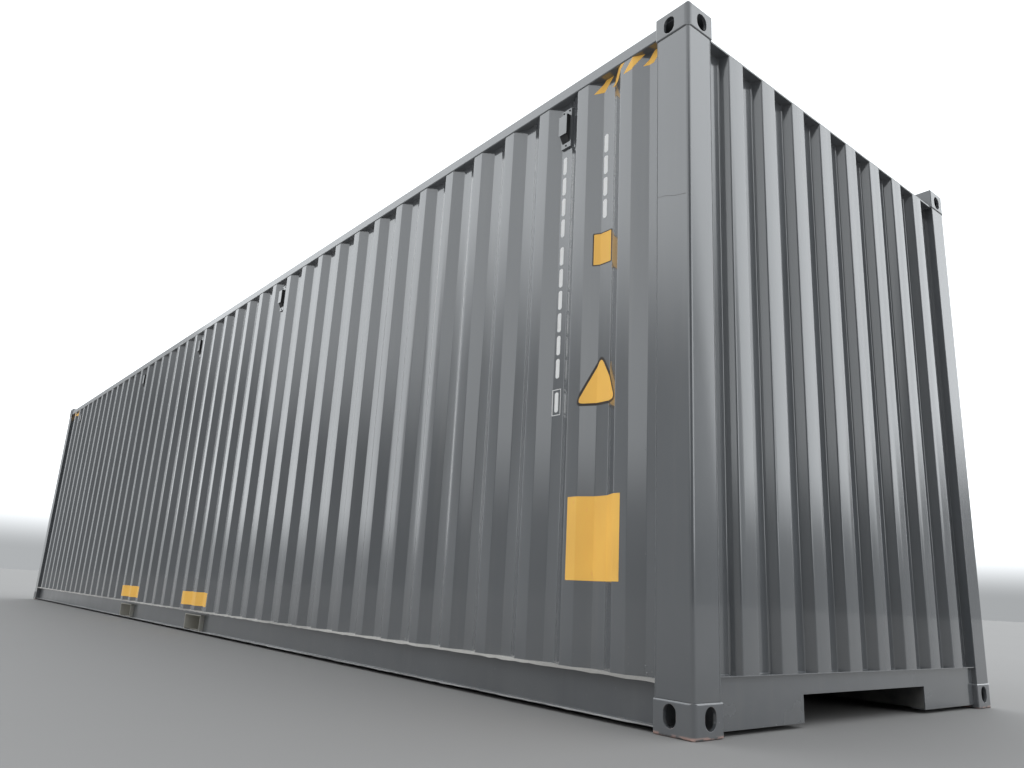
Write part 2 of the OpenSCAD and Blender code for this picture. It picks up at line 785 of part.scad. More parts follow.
// The rubber seal round and between the leaves
module door_gasket() {
    color(rubber) at_end("door") difference() {
        span([door_in_x, -door_post_y, door_sill_top], [door_in_x + door_t / 2, door_post_y, opening_high]);
        for (s = SIDES) at_side(s)
            span([door_in_x - cut, leaf_in, leaf_low], [door_x, leaf_out, leaf_high]);
    }
}

// The ventilators of a side, set in the recesses of its corrugation
module ventilators(s) {
    middle = floor(side_n / 2) - 1;
    high = top_rail_low - vent_drop;
    face = side_face_y - side_depth;
    hood_high = high - (vent_plate_h - vent_hood_h) / 2;
    hood_low = hood_high - vent_hood_h;
    places = [1, middle - vent_step, middle, middle + vent_step, side_n - 3];
    color(steel) at_side(s)
        for (i = places) translate([valley_x(i), 0, 0]) {
            span([-vent_w / 2, face, high - vent_plate_h], [vent_w / 2, face + vent_t, high]);
            difference() {
                span([-vent_hood_w / 2, face, hood_low], [vent_hood_w / 2, face + vent_depth, hood_high]);
                span([-vent_hood_w / 2 + vent_t, face + vent_t, hood_low - cut],
                    [vent_hood_w / 2 - vent_t, face + vent_depth - vent_t, hood_high - vent_t]);
            }
        }
}

for (e = ENDS, s = SIDES, l = LEVELS)
    casting(e, s, l);
for (s = SIDES) {
    front_post(s);
    door_post(s);
    top_rail(s);
    bottom_rail(s);
    side_wall(s);
    door_frame(s);
    door_panel(s);
    door_hinges(s);
    lock_rods(s);
    lock_handles(s);
    ventilators(s);
}
front_header();
front_sill();
door_header();
door_sill();
front_wall();
roof();
floor_boards();
cross_members();
gooseneck_tunnel();
fork_pockets();
cam_keepers();
door_gasket();
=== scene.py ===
"""Looks of a forty foot high cube shipping container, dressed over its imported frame."""

from __future__ import annotations

import logging
import math
from dataclasses import dataclass, field
from enum import Enum
from typing import Iterable, Iterator, Optional, Sequence, Union

import bmesh
import bpy
import numpy as np
from mathutils import Matrix, Vector


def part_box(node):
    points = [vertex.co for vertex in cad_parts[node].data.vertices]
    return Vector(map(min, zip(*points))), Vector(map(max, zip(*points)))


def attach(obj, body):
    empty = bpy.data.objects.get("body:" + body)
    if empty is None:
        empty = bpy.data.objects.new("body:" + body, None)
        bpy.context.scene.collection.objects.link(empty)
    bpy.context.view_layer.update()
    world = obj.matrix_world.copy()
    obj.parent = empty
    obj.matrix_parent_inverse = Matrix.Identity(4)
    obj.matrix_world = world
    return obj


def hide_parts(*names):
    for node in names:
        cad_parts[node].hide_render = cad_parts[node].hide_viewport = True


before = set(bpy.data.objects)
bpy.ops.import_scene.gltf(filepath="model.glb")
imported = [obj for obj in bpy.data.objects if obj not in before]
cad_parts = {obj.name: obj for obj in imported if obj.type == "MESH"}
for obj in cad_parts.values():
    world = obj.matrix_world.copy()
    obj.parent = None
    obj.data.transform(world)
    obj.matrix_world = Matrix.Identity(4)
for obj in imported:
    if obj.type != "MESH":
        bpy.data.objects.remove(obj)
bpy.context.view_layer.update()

LOG = logging.getLogger("container")

Colour = tuple[float, float, float]
Point = tuple[float, float, float]
Socket = bpy.types.NodeSocket
Feed = Union[Socket, float, Sequence[float]]
Outline = list[tuple[float, float]]
Rect = tuple[float, float, float, float]

MM = 0.001
BEAD_STEP = 18 * MM
BEAD_SIDES = 6
CORNER_STEPS = 5
BOLT_SIDES = 6
WELD_SHARP = 80.0
DUST: Colour = (0.30, 0.29, 0.27)
PALE: Colour = (0.52, 0.53, 0.53)
RUST: Colour = (0.20, 0.085, 0.045)
PRIMER: Colour = (0.40, 0.25, 0.21)


class Side(Enum):
    """The two long sides, by the sign of their Y."""

    LEFT = 1
    RIGHT = -1

    @property
    def label(self) -> str:
        """The side's word in the names of nodes."""
        return self.name.lower()


class Slot(Enum):
    """The record's material slots, named for new pieces; this script does not give a piece its slot."""

    WALL = "wall_steel"
    ROOF = "roof_steel"
    FRAME = "frame_steel"
    ZINC = "zinc_steel"
    VENT = "vent_steel"


def toned(colour: Colour, share: float) -> tuple[float, float, float, float]:
    """A colour made lighter or darker by a share, ready for a colour socket."""
    return (colour[0] * share, colour[1] * share, colour[2] * share, 1.0)


class Graph:
    """A node tree while it is put together, with short calls for common steps."""

    def __init__(self, tree: bpy.types.NodeTree) -> None:
        """Starts with an empty tree."""
        self.nodes = tree.nodes
        self.links = tree.links
        self.nodes.clear()

    def put(self, socket: Socket, value: Feed) -> None:
        """Links a socket to another one, or gives it a fixed value."""
        if isinstance(value, bpy.types.NodeSocket):
            self.links.new(value, socket)
        else:
            socket.default_value = value

    def math(self, operation: str, *values: Feed) -> Socket:
        """One step of arithmetic.

        Args:
            operation: Blender's name of the step.
            values: Its inputs, sockets or numbers.

        Returns:
            The result's socket.
        """
        node = self.nodes.new("ShaderNodeMath")
        node.operation = operation
        for socket, value in zip(node.inputs, values):
            self.put(socket, value)
        return node.outputs[0]

    def product(self, *values: Feed) -> Feed:
        """The product of several values."""
        result = values[0]
        for value in values[1:]:
            result = self.math("MULTIPLY", result, value)
        return result

    def ramp(self, value: Feed, low: Feed, high: Feed, start: Feed = 0.0, end: Feed = 1.0) -> Socket:
        """A smooth step.

        Args:
            value: What is stepped.
            low: Where the step starts.
            high: Where the step ends.
            start: The result before it.
            end: The result after it.

        Returns:
            The step's socket.
        """
        node = self.nodes.new("ShaderNodeMapRange")
        node.interpolation_type = "SMOOTHSTEP"
        feeds = {"Value": value, "From Min": low, "From Max": high, "To Min": start, "To Max": end}
        for name, feed in feeds.items():
            self.put(node.inputs[name], feed)
        return node.outputs["Result"]

    def blend(self, share: Feed, first: Feed, second: Feed) -> Socket:
        """A colour between two others.

        Args:
            share: How much of the second colour shows.
            first: The colour at share 0.
            second: The colour at share 1.

        Returns:
            The colour's socket.
        """
        node = self.nodes.new("ShaderNodeMix")
        node.data_type = "RGBA"
        self.put(node.inputs[0], share)
        self.put(node.inputs[6], first)
        self.put(node.inputs[7], second)
        return node.outputs[2]

    def split(self, vector: Socket) -> list[Socket]:
        """The three coordinates of a vector."""
        node = self.nodes.new("ShaderNodeSeparateXYZ")
        self.links.new(vector, node.inputs[0])
        return list(node.outputs)


class Coat(Graph):
    """A material's nodes, fixed to the object's own coordinates."""

    def __init__(self, name: str) -> None:
        """Starts the material.

        Args:
            name: The material's name.
        """
        self.material = bpy.data.materials.new(name)
        self.material.use_nodes = True
        super().__init__(self.material.node_tree)
        self.shader = self.nodes.new("ShaderNodeBsdfPrincipled")
        output = self.nodes.new("ShaderNodeOutputMaterial")
        self.links.new(self.shader.outputs["BSDF"], output.inputs["Surface"])
        self.place = self.nodes.new("ShaderNodeTexCoord").outputs["Object"]

    def noise(self, grain: Point, detail: float = 3.0, seed: float = 0.0) -> Socket:
        """Noise fixed to the object.

        Args:
            grain: Cycles per metre along each axis.
            detail: Octaves.
            seed: Shift that makes this noise differ from others.

        Returns:
            The noise's socket, from 0 to 1.
        """
        mapping = self.nodes.new("ShaderNodeMapping")
        mapping.inputs["Scale"].default_value = grain
        mapping.inputs["Location"].default_value = (seed, seed * 1.7, seed * 0.6)
        self.links.new(self.place, mapping.inputs["Vector"])
        node = self.nodes.new("ShaderNodeTexNoise")
        node.inputs["Scale"].default_value = 1.0
        node.inputs["Detail"].default_value = detail
        self.links.new(mapping.outputs[0], node.inputs["Vector"])
        return node.outputs["Fac"]

    def patches(self, grain: Point, detail: float, seed: float, low: float, high: float) -> Socket:
        """Noise sharpened into patches: 0 below a low level and 1 above a high one."""
        return self.ramp(self.noise(grain, detail, seed), low, high)

    def over(self, colour: Feed, tone: Colour, *shares: Feed) -> Socket:
        """A tone laid over a colour by the product of some shares."""
        return self.blend(self.product(*shares), colour, toned(tone, 1.0))

    def varied(self, colour: Colour, spread: float, share: Feed) -> Socket:
        """A colour that wanders evenly about its mean.

        Args:
            colour: The mean colour.
            spread: How far it goes to either side, as a share of itself.
            share: Where it stands between its darkest and its lightest.

        Returns:
            The colour's socket.
        """
        return self.blend(share, toned(colour, 1 - spread), toned(colour, 1 + spread))

    def axis(self, number: int) -> Socket:
        """One coordinate of the place on the object: 0, 1 or 2."""
        return self.split(self.place)[number]

    def soft_edge(self, radius: float) -> Socket:
        """The normal of a surface whose edges are rounded by a radius."""
        node = self.nodes.new("ShaderNodeBevel")
        node.samples = 6
        node.inputs["Radius"].default_value = radius
        return node.outputs["Normal"]

    def edge_share(self, normal: Socket) -> Socket:
        """How near an edge is, from the bend between the rounded and the flat normal."""
        flat = self.nodes.new("ShaderNodeNewGeometry").outputs["Normal"]
        node = self.nodes.new("ShaderNodeVectorMath")
        node.operation = "DOT_PRODUCT"
        self.links.new(normal, node.inputs[0])
        self.links.new(flat, node.inputs[1])
        return self.math("SUBTRACT", 1.0, node.outputs["Value"])

    def bump(self, height: Socket, depth: float, normal: Optional[Socket] = None) -> Socket:
        """A bumped normal.

        Args:
            height: The relief, from 0 to 1.
            depth: What 1 stands for, in metres.
            normal: The normal that is bumped, or none for the surface's own.

        Returns:
            The normal's socket.
        """
        node = self.nodes.new("ShaderNodeBump")
        node.inputs["Strength"].default_value = 1.0
        node.inputs["Distance"].default_value = depth
        self.links.new(height, node.inputs["Height"])
        if normal is not None:
            self.links.new(normal, node.inputs["Normal"])
        return node.outputs["Normal"]

    def finish(self, colour: Feed, roughness: Feed, normal: Optional[Socket]) -> bpy.types.Material:
        """Links the shader's main inputs.

        Args:
            colour: The base colour.
            roughness: The roughness.
            normal: The bumped normal, or none.

        Returns:
            The material.
        """
        self.put(self.shader.inputs["Base Color"], colour)
        self.put(self.shader.inputs["Roughness"], roughness)
        if normal is not None:
            self.links.new(normal, self.shader.inputs["Normal"])
        return self.material


@dataclass(frozen=True)
class Paint:
    """Sprayed steel paint with mottling, dust, streaks, scratches and worn edges."""

    name: str
    colour: Colour
    roughness: float = 0.16
    coat: float = 1.0
    coat_rough: float = 0.05
    sag: float = 0.0
    foot: float = 0.0
    mottle: float = 0.07
    streaks: float = 0.10
    dust: float = 0.10
    dust_high: float = 0.55
    specks: float = 0.25
    wear: float = 0.0
    chips: float = 0.0
    chip_colour: Colour = PRIMER
    edge_r: float = 0.0
    grain: float = 0.05 * MM
    seed: float = 0.0
    ior: float = 1.6
    coat_ior: float = 1.75

    def build(self) -> bpy.types.Material:
        """Makes the paint's material."""
        g = Coat(self.name)
        tone = g.patches((1.6, 1.6, 1.1), 5.0, self.seed, 0.3, 0.7)
        colour = g.varied(self.colour, self.mottle, tone)
        runs = g.patches((11.0, 11.0, 0.7), 4.0, self.seed + 3.0, 0.52, 0.80)
        colour = g.over(colour, DUST, runs, self.streaks)
        low = g.ramp(g.axis(2), self.dust_high, 0.0)
        cloud = g.patches((6.0, 6.0, 6.0), 5.0, self.seed + 5.0, 0.30, 0.75)
        dusty = g.product(low, cloud, self.dust)
        colour = g.over(colour, DUST, dusty)
        dots = g.patches((85.0, 85.0, 85.0), 2.0, self.seed + 7.0, 0.735, 0.77)
        colour = g.over(colour, PALE, dots, self.specks, low)
        rub = g.patches((5.0, 5.0, 110.0), 3.0, self.seed + 9.0, 0.73, 0.79)
        rub_here = g.patches((2.1, 2.1, 2.1), 2.0, self.seed + 11.0, 0.58, 0.70)
        colour = g.over(colour, PALE, rub, rub_here, 0.15)
        if self.foot > 0:
            patch = g.patches((22.0, 22.0, 60.0), 4.0, self.seed + 17.0, 0.42, 0.55)
            foot = g.product(g.ramp(g.axis(2), self.foot, self.foot / 3), patch)
            colour = g.blend(foot, colour, toned(self.chip_colour, 1.5))
        normal = None
        if self.edge_r > 0:
            normal = g.soft_edge(self.edge_r)
            edge = g.edge_share(normal)
            patch = g.noise((28.0, 28.0, 28.0), 4.0, self.seed + 13.0)
            worn = g.product(g.ramp(edge, 0.01, 0.20), g.ramp(patch, 0.38, 0.62), self.wear)
            colour = g.blend(worn, colour, toned(PALE, 0.8))
            if self.chips > 0:
                bare = g.product(g.ramp(edge, 0.02, 0.12), g.ramp(patch, 0.54, 0.60), self.chips)
                colour = g.over(colour, self.chip_colour, bare)
        rough = g.math("ADD", self.roughness, g.product(tone, 0.08))
        rough = g.math("ADD", rough, g.product(dusty, 0.8))
        peel = g.noise((170.0, 170.0, 170.0), 2.0, self.seed + 15.0)
        if self.sag > 0:
            normal = g.bump(g.noise((8.0, 8.0, 0.45), 1.0, self.seed + 19.0), self.sag, normal)
        normal = g.bump(peel, self.grain, normal)
        g.shader.inputs["Coat Weight"].default_value = self.coat
        g.shader.inputs["Coat Roughness"].default_value = self.coat_rough
        g.shader.inputs["Coat IOR"].default_value = self.coat_ior
        g.shader.inputs["IOR"].default_value = self.ior
        return g.finish(colour, rough, normal)


@dataclass(frozen=True)
class ZincCoat:
    """Galvanised steel with a faint spangle and grey bloom."""

    name: str
    colour: Colour = (0.52, 0.53, 0.54)
    bloom: Colour = (0.40, 0.41, 0.41)
    edge_r: float = 1.5 * MM

    def build(self) -> bpy.types.Material:
        """Makes the coat's material."""
        g = Coat(self.name)
        spangle = g.nodes.new("ShaderNodeTexVoronoi")
        spangle.inputs["Scale"].default_value = 120.0
        g.links.new(g.place, spangle.inputs["Vector"])
        tint = g.math("MULTIPLY", spangle.outputs["Color"], 0.5)
        cloud = g.patches((14.0, 14.0, 5.0), 4.0, 0.0, 0.35, 0.65)
        colour = g.blend(tint, toned(self.colour, 1.0), toned(self.colour, 0.85))
        colour = g.over(colour, self.bloom, cloud)
        stain = g.patches((30.0, 30.0, 9.0), 4.0, 4.0, 0.66, 0.74)
        colour = g.over(colour, RUST, stain, 0.6)
        g.shader.inputs["Metallic"].default_value = 0.75
        rough = g.math("ADD", 0.38, g.product(cloud, 0.2))
        return g.finish(colour, rough, g.bump(cloud, 0.1 * MM, g.soft_edge(self.edge_r)))


@dataclass(frozen=True)
class Rubber:
    """Black rubber with a dusty bloom."""

    name: str
    colour: Colour = (0.022, 0.022, 0.024)

    def build(self) -> bpy.types.Material:
        """Makes the rubber's material."""
        g = Coat(self.name)
        cloud = g.patches((20.0, 20.0, 8.0), 4.0, 0.0, 0.35, 0.75)
        colour = g.blend(g.product(cloud, 0.3), toned(self.colour, 1.0), toned(DUST, 0.5))
        fine = g.noise((400.0, 400.0, 400.0), 2.0)
        return g.finish(colour, g.math("ADD", 0.6, g.product(cloud, 0.2)), g.bump(fine, 0.1 * MM))


@dataclass(frozen=True)
class Plywood:
    """Varnished plywood boards with seams across the floor and screws along them."""

    name: str
    colour: Colour = (0.22, 0.12, 0.055)
    board: float = 1.16
    seam: float = 4 * MM

    def build(self) -> bpy.types.Material:
        """Makes the plywood's material."""
        g = Coat(self.name)
        grain = g.noise((2.0, 60.0, 60.0), 6.0)
        colour = g.blend(g.ramp(grain, 0.3, 0.7), toned(self.colour, 0.75), toned(self.colour, 1.3))
        seams = []
        for axis, pitch in ((0, 2 * self.board), (1, self.board)):
            phase = g.math("WRAP", g.axis(axis), pitch / 2, -pitch / 2)
            seams.append(g.ramp(g.math("ABSOLUTE", phase), self.seam, self.seam / 2))
        gap = g.math("MAXIMUM", *seams)
        colour = g.blend(gap, colour, toned(self.colour, 0.15))
        scuff = g.patches((1.5, 9.0, 9.0), 5.0, 6.0, 0.5, 0.75)
        colour = g.blend(g.product(scuff, 0.5), colour, toned(DUST, 0.8))
        height = g.math("SUBTRACT", g.product(grain, 0.2), gap)
        return g.finish(colour, g.math("ADD", 0.42, g.product(scuff, 0.25)), g.bump(height, 1 * MM))


@dataclass(frozen=True)
class Film:
    """Self-adhesive film or stencil paint, slightly faded and scuffed.

    Its colour is also given off as a faint glow: painted light that makes the film brighter than the
    lamps alone would.
    """

    name: str
    colour: Colour
    roughness: float = 0.38
    fade: float = 0.08
    painted_glow: float = 0.0

    def build(self) -> bpy.types.Material:
        """Makes the film's material."""
        g = Coat(self.name)
        cloud = g.patches((9.0, 9.0, 5.0), 4.0, 0.0, 0.3, 0.7)
        colour = g.varied(self.colour, self.fade, cloud)
        dirt = g.patches((40.0, 40.0, 12.0), 4.0, 8.0, 0.62, 0.76)
        colour = g.blend(g.product(dirt, 0.18), colour, toned(DUST, 0.6))
        # Painted glow: the film's colour is also given off as light, though a film is no lamp.
        g.links.new(colour, g.shader.inputs["Emission Color"])
        g.shader.inputs["Emission Strength"].default_value = self.painted_glow
        fine = g.noise((220.0, 220.0, 220.0), 2.0)
        rough = g.math("ADD", self.roughness, g.product(cloud, 0.12))
        return g.finish(colour, rough, g.bump(fine, 0.03 * MM))


GREY: Colour = (0.118, 0.125, 0.134)


@dataclass
class Finishes:
    """All finishes of the container, each made once."""

    wall: Paint = Paint("wall_paint", GREY, sag=0.6 * MM)
    roof: Paint = Paint("roof_paint", GREY, roughness=0.30, dust=0.0, streaks=0.25, mottle=0.12, seed=2.0)
    post: Paint = Paint("post_paint", GREY, edge_r=2 * MM, wear=0.25, dust_high=0.4, seed=21.0)
    rail: Paint = Paint("rail_paint", toned(GREY, 1.15)[:3], edge_r=2 * MM, wear=0.35, seed=31.0)
    # The bottom rail takes a darker copy of the wall grey: painted shade for a rail whose web lies in
    # shadow; its worn edges, chips, dust and specks are real.
    shaded_bottom_rail: Paint = Paint(
        "shaded_bottom_rail_paint", toned(GREY, 0.9)[:3], roughness=0.30, coat=0.7, coat_rough=0.15, edge_r=3 * MM,
        wear=0.6, chips=0.3, dust=0.12, dust_high=0.25, specks=0.5, seed=41.0
    )
    casting: Paint = Paint(
        "casting_paint", GREY, roughness=0.30, coat_rough=0.16, foot=14 * MM, edge_r=4 * MM, wear=0.35,
        chips=0.5, dust=0.15, dust_high=0.12, grain=0.4 * MM, specks=0.6, seed=51.0
    )
    under: Paint = Paint(
        "under_coat", (0.035, 0.036, 0.038), roughness=0.5, coat=0.0, edge_r=2 * MM, wear=0.2,
        dust=0.5, dust_high=0.2, seed=61.0
    )
    # The pocket primer is paler than the real primer: painted light that lifts the shaded insides of the
    # fork pockets.
    pocket: Paint = Paint(
        "pocket_primer_painted_light", (0.62, 0.60, 0.54), roughness=0.5, coat=0.0, edge_r=2 * MM, wear=0.3, chips=0.2,
        mottle=0.15, dust=0.4, dust_high=0.2, seed=65.0
    )
    door: Paint = Paint("door_paint", GREY, edge_r=2.5 * MM, wear=0.3, chips=0.2, streaks=0.14, seed=71.0)
    vent: Paint = Paint("vent_paint", toned(GREY, 1.1)[:3], edge_r=1 * MM, wear=0.1, seed=81.0)
    # The bead and ridge paints are lighter than the wall grey: painted highlight for the thin bright
    # lines of the welds and the posts' edge ridges; the bead paint also colours the real pale spatter.
    bead: Paint = Paint("bead_paint", toned(GREY, 1.4)[:3], grain=0.6 * MM, seed=91.0)
    ridge: Paint = Paint("ridge_paint", (0.17, 0.18, 0.19), roughness=0.3, grain=0.4 * MM, seed=93.0)
    # The lip and flange paints are pale: partly worn, dusty paint and partly painted highlight for the
    # bright lines along the bottom rails' upper lip and lower flange.
    lip: Paint = Paint(
        "lip_paint", (0.60, 0.58, 0.55), roughness=0.5, coat=0.1, grain=0.6 * MM, mottle=0.25,
        streaks=0.2, specks=1.0, seed=95.0
    )
    flange: Paint = Paint(
        "flange_paint", (0.42, 0.42, 0.42), roughness=0.5, coat=0.1, grain=0.6 * MM, mottle=0.35,
        streaks=0.3, specks=1.0, seed=97.0
    )
    zinc: ZincCoat = ZincCoat("zinc_coat")
    rubber: Rubber = Rubber("gasket_rubber")
    plywood: Plywood = Plywood("floor_plywood")
    # The amber and white films carry a painted glow that lifts them above the light that falls on them.
    amber: Film = Film("amber_film", (1.0, 0.57, 0.115), roughness=0.5, fade=0.05, painted_glow=0.15)
    ink: Film = Film("dark_ink", (0.040, 0.030, 0.024))
    white: Film = Film("white_stencil", (0.90, 0.90, 0.89), roughness=0.45, fade=0.03, painted_glow=0.10)
    made: dict[str, bpy.types.Material] = field(default_factory=dict)

    def get(self, name: str) -> bpy.types.Material:
        """The material of a finish, made at its first use.

        Args:
            name: The name of the finish's field.

        Returns:
            The material.
        """
        if name not in self.made:
            self.made[name] = getattr(self, name).build()
        return self.made[name]


def report(piece: bpy.types.Object) -> None:
    """Logs a piece's name and its triangles."""
    piece.data.calc_loop_triangles()
    LOG.info("%s: %d triangles", piece.name, len(piece.data.loop_triangles))


def add_piece(
    name: str,
    points: np.ndarray,
    faces: Sequence[Sequence[int]],
    material: bpy.types.Material,
    slot: Optional[Slot] = None,
    replaces: Sequence[str] = (),
    sharp: float = 40.0,
) -> bpy.types.Object:
    """Makes a piece that rides with the container.

    Args:
        name: The piece's name.
        points: Its points in the frame.
        faces: Its faces as numbers of points.
        material: Its finish.
        slot: Not used.
        replaces: CAD nodes that it stands for.
        sharp: The angle in degrees from which an edge stays sharp.

    Returns:
        The piece.
    """
    mesh = bpy.data.meshes.new(name)
    mesh.from_pydata(np.asarray(points, float).tolist(), [], [list(f) for f in faces])
    shape = bmesh.new()
    shape.from_mesh(mesh)
    loose = [v for v in shape.verts if not v.link_faces]
    bmesh.ops.delete(shape, geom=loose, context="VERTS")
    bmesh.ops.recalc_face_normals(shape, faces=shape.faces)
    shape.to_mesh(mesh)
    shape.free()
    mesh.materials.append(material)
    mesh.polygons.foreach_set("use_smooth", [True] * len(mesh.polygons))
    mesh.set_sharp_from_angle(angle=math.radians(sharp))
    piece = bpy.data.objects.new(name, mesh)
    bpy.context.scene.collection.objects.link(piece)
    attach(piece, "root")
    if replaces:
        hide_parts(*replaces)
    report(piece)
    return piece


def closed_shell(
    front: np.ndarray, back: np.ndarray, faces: Sequence[Sequence[int]]
) -> tuple[np.ndarray, list[list[int]]]:
    """Closes a surface and its back into a solid along the surface's open edges.

    Args:
        front: The surface's points.
        back: The points behind them, in the same order.
        faces: The surface's faces.

    Returns:
        The points and the faces of the solid.
    """
    shift = len(front)
    open_edges: dict[tuple[int, int], bool] = {}
    for face in faces:
        for a, b in zip(face, list(face[1:]) + [face[0]]):
            if (b, a) in open_edges:
                del open_edges[(b, a)]
            else:
                open_edges[(a, b)] = True
    closed = [list(f) for f in faces]
    closed += [[i + shift for i in reversed(f)] for f in faces]
    closed += [[b, a, a + shift, b + shift] for a, b in open_edges]
    return np.vstack([front, back]), closed


def grid_faces(keep: np.ndarray) -> list[list[int]]:
    """Faces of a grid of points.

    Args:
        keep: One flag for each cell, rows by columns.

    Returns:
        The kept cells as faces, for points counted row by row.
    """
    rows, cols = keep.shape
    index = np.arange((rows + 1) * (cols + 1)).reshape(rows + 1, cols + 1)
    cells = np.stack([index[:-1, :-1], index[:-1, 1:], index[1:, 1:], index[1:, :-1]], -1)
    return cells[keep].tolist()


@dataclass(frozen=True)
class Ripple:
    """Shallow waves that pressing and welding leave in a thin sheet."""

    height: float = 0.5 * MM
    seed: int = 1
    waves: int = 6
    longest: float = 1.9
    shortest: float = 0.7

    def at(self, along: np.ndarray, up: np.ndarray, span: Sequence[float]) -> np.ndarray:
        """How far the sheet stands out.

        Args:
            along: Places along the sheet.
            up: Heights.
            span: The sheet's ends along and up, where the waves die out.

        Returns:
            The offsets in metres.
        """
        rng = np.random.default_rng(self.seed)
        total = np.zeros(np.broadcast(along, up).shape)
        for _ in range(self.waves):
            length = rng.uniform(self.shortest, self.longest)
            turn, phase = rng.uniform(0, math.pi), rng.uniform(0, 2 * math.pi)
            path = along * math.cos(turn) + up * math.sin(turn)
            total = total + np.sin(path * 2 * math.pi / length + phase)
        left, right, low, high = span
        fade = 1.0
        for value, a, b in ((along, left, right), (up, low, high)):
            near = np.clip(np.minimum(value - a, b - value) / 0.25, 0, 1)
            fade = fade * near * near * (3 - 2 * near)
        return total / self.waves * self.height * 2 * fade


@dataclass(frozen=True)
class FoldedSheet:
    """A steel sheet with raised faces in a row, folded with small radii."""

    count: int
    first: float
    pitch: float
    crest: float
    slope: float
    depth: float
    face: float
    start: float
    end: float
    thickness: float = 2 * MM
    fold_r: float = 12 * MM
    fold_steps: int = 6

    def corners(self) -> list[tuple[float, float]]:
        """The outline's corners, as places along and out."""
        low = self.face - self.depth
        points = [(self.start, low)]
        for number in range(self.count):
            middle = self.first + number * self.pitch
            left, right = middle - self.crest / 2, middle + self.crest / 2
            points += [(left - self.slope, low), (left, self.face), (right, self.face)]
            points.append((right + self.slope, low))
        return points + [(self.end, low)]

    def outline(self) -> np.ndarray:
        """The sheet's outer line, with its folds rounded."""
        corners = [Vector(c) for c in self.corners()]
        line = [corners[0]]
        for before, here, after in zip(corners, corners[1:], corners[2:]):
            to, away = (before - here), (after - here)
            half = to.angle(away) / 2
            reach = min(self.fold_r / math.tan(half), 0.45 * to.length, 0.45 * away.length)
            a, b = here + to.normalized() * reach, here + away.normalized() * reach
            for step in range(self.fold_steps + 1):
                t = step / self.fold_steps
                line.append(a * (1 - t) ** 2 + here * 2 * t * (1 - t) + b * t * t)
        return np.array(line + [corners[-1]])

    def back(self, line: np.ndarray) -> np.ndarray:
        """The line one sheet thickness behind another, with its ends kept in their planes.

        Args:
            line: The outer line.

        Returns:
            The inner line.
        """
        run = np.gradient(line, axis=0)
        run /= np.linalg.norm(run, axis=1)[:, None]
        inner = line + np.stack([run[:, 1], -run[:, 0]], -1) * self.thickness
        inner[[0, -1], 0] = line[[0, -1], 0]
        inner[[0, -1], 1] = line[[0, -1], 1] - self.thickness
        return inner


@dataclass
class SideWall:
    """A long side's corrugated wall."""

    side: Side
    pitch: float = 278 * MM
    crest: float = 72 * MM
    slope: float = 68 * MM
    lead: float = 149 * MM
    count: int = 42
    rows: int = 18
    sheet: FoldedSheet = field(init=False)
    ripple: Ripple = field(init=False)
    heights: np.ndarray = field(init=False)

    def __post_init__(self) -> None:
        """Reads the wall's box and lays out its folds and rows."""
        low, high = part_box(f"side_wall_{self.side.label}")
        face = max(abs(low.y), abs(high.y))
        thickness = 2 * MM
        depth = high.y - low.y - thickness
        first = high.x - self.lead - self.crest / 2 - (self.count - 1) * self.pitch
        self.sheet = FoldedSheet(
            self.count, first, self.pitch, self.crest, self.slope, depth, face, low.x, high.x, thickness
        )
        self.ripple = Ripple(seed=11 if self.side is Side.RIGHT else 12)
        self.heights = np.linspace(low.z, high.z, self.rows + 1)

    @property
    def span(self) -> tuple[float, float, float, float]:
        """The wall's ends along and up."""
        return (self.sheet.start, self.sheet.end, self.heights[0], self.heights[-1])

    def out(self, along: np.ndarray, up: np.ndarray) -> np.ndarray:
        """How far the wall's face stands from the middle plane.

        Args:
            along: Places along the wall.
            up: Heights.

        Returns:
            The distances in metres.
        """
        line = self.sheet.outline()
        return np.interp(along, line[:, 0], line[:, 1]) + self.ripple.at(along, up, self.span)

    def skin(self, line: np.ndarray) -> np.ndarray:
        """The points of one face of the wall, row by row."""
        up = self.heights[:, None]
        along = np.broadcast_to(line[None, :, 0], (self.rows + 1, len(line)))
        out = line[None, :, 1] + self.ripple.at(line[None, :, 0], up, self.span)
        skin = np.stack([along, self.side.value * out, np.broadcast_to(up, along.shape)], -1)
        return skin.reshape(-1, 3)

    def build(self, finishes: Finishes) -> bpy.types.Object:
        """Makes the wall in place of its CAD node."""
        line = self.sheet.outline()
        keep = np.ones((self.rows, len(line) - 1), bool)
        points, faces = closed_shell(self.skin(line), self.skin(self.sheet.back(line)), grid_faces(keep))
        node = f"side_wall_{self.side.label}"
        return add_piece(f"corrugated_{node}", points, faces, finishes.get("wall"), Slot.WALL, [node])


@dataclass
class FrontWall:
    """The corrugated wall of the blind end."""

    pitch: float = 250 * MM
    crest: float = 104 * MM
    slope: float = 18 * MM
    count: int = 8
    rows: int = 18
    ripple: Ripple = Ripple(height=0.4 * MM, seed=13)

    def build(self, finishes: Finishes) -> bpy.types.Object:
        """Makes the wall in place of its CAD node."""
        low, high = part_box("front_wall")
        thickness = 2 * MM
        sheet = FoldedSheet(
            self.count, -(self.count - 1) * self.pitch / 2, self.pitch, self.crest, self.slope,
            high.x - low.x - thickness, high.x, low.y, high.y, thickness, 9 * MM
        )
        line = sheet.outline()
        up = np.linspace(low.z, high.z, self.rows + 1)[:, None]
        skins = []
        for path in (line, sheet.back(line)):
            along = np.broadcast_to(path[None, :, 0], (self.rows + 1, len(path)))
            out = path[None, :, 1] + self.ripple.at(path[None, :, 0], up, (low.y, high.y, low.z, high.z))
            skins.append(np.stack([out, along, np.broadcast_to(up, along.shape)], -1).reshape(-1, 3))
        keep = np.ones((self.rows, len(line) - 1), bool)
        points, faces = closed_shell(skins[0], skins[1], grid_faces(keep))
        finish = finishes.get("wall")
        return add_piece("corrugated_front_wall", points, faces, finish, Slot.WALL, ["front_wall"])


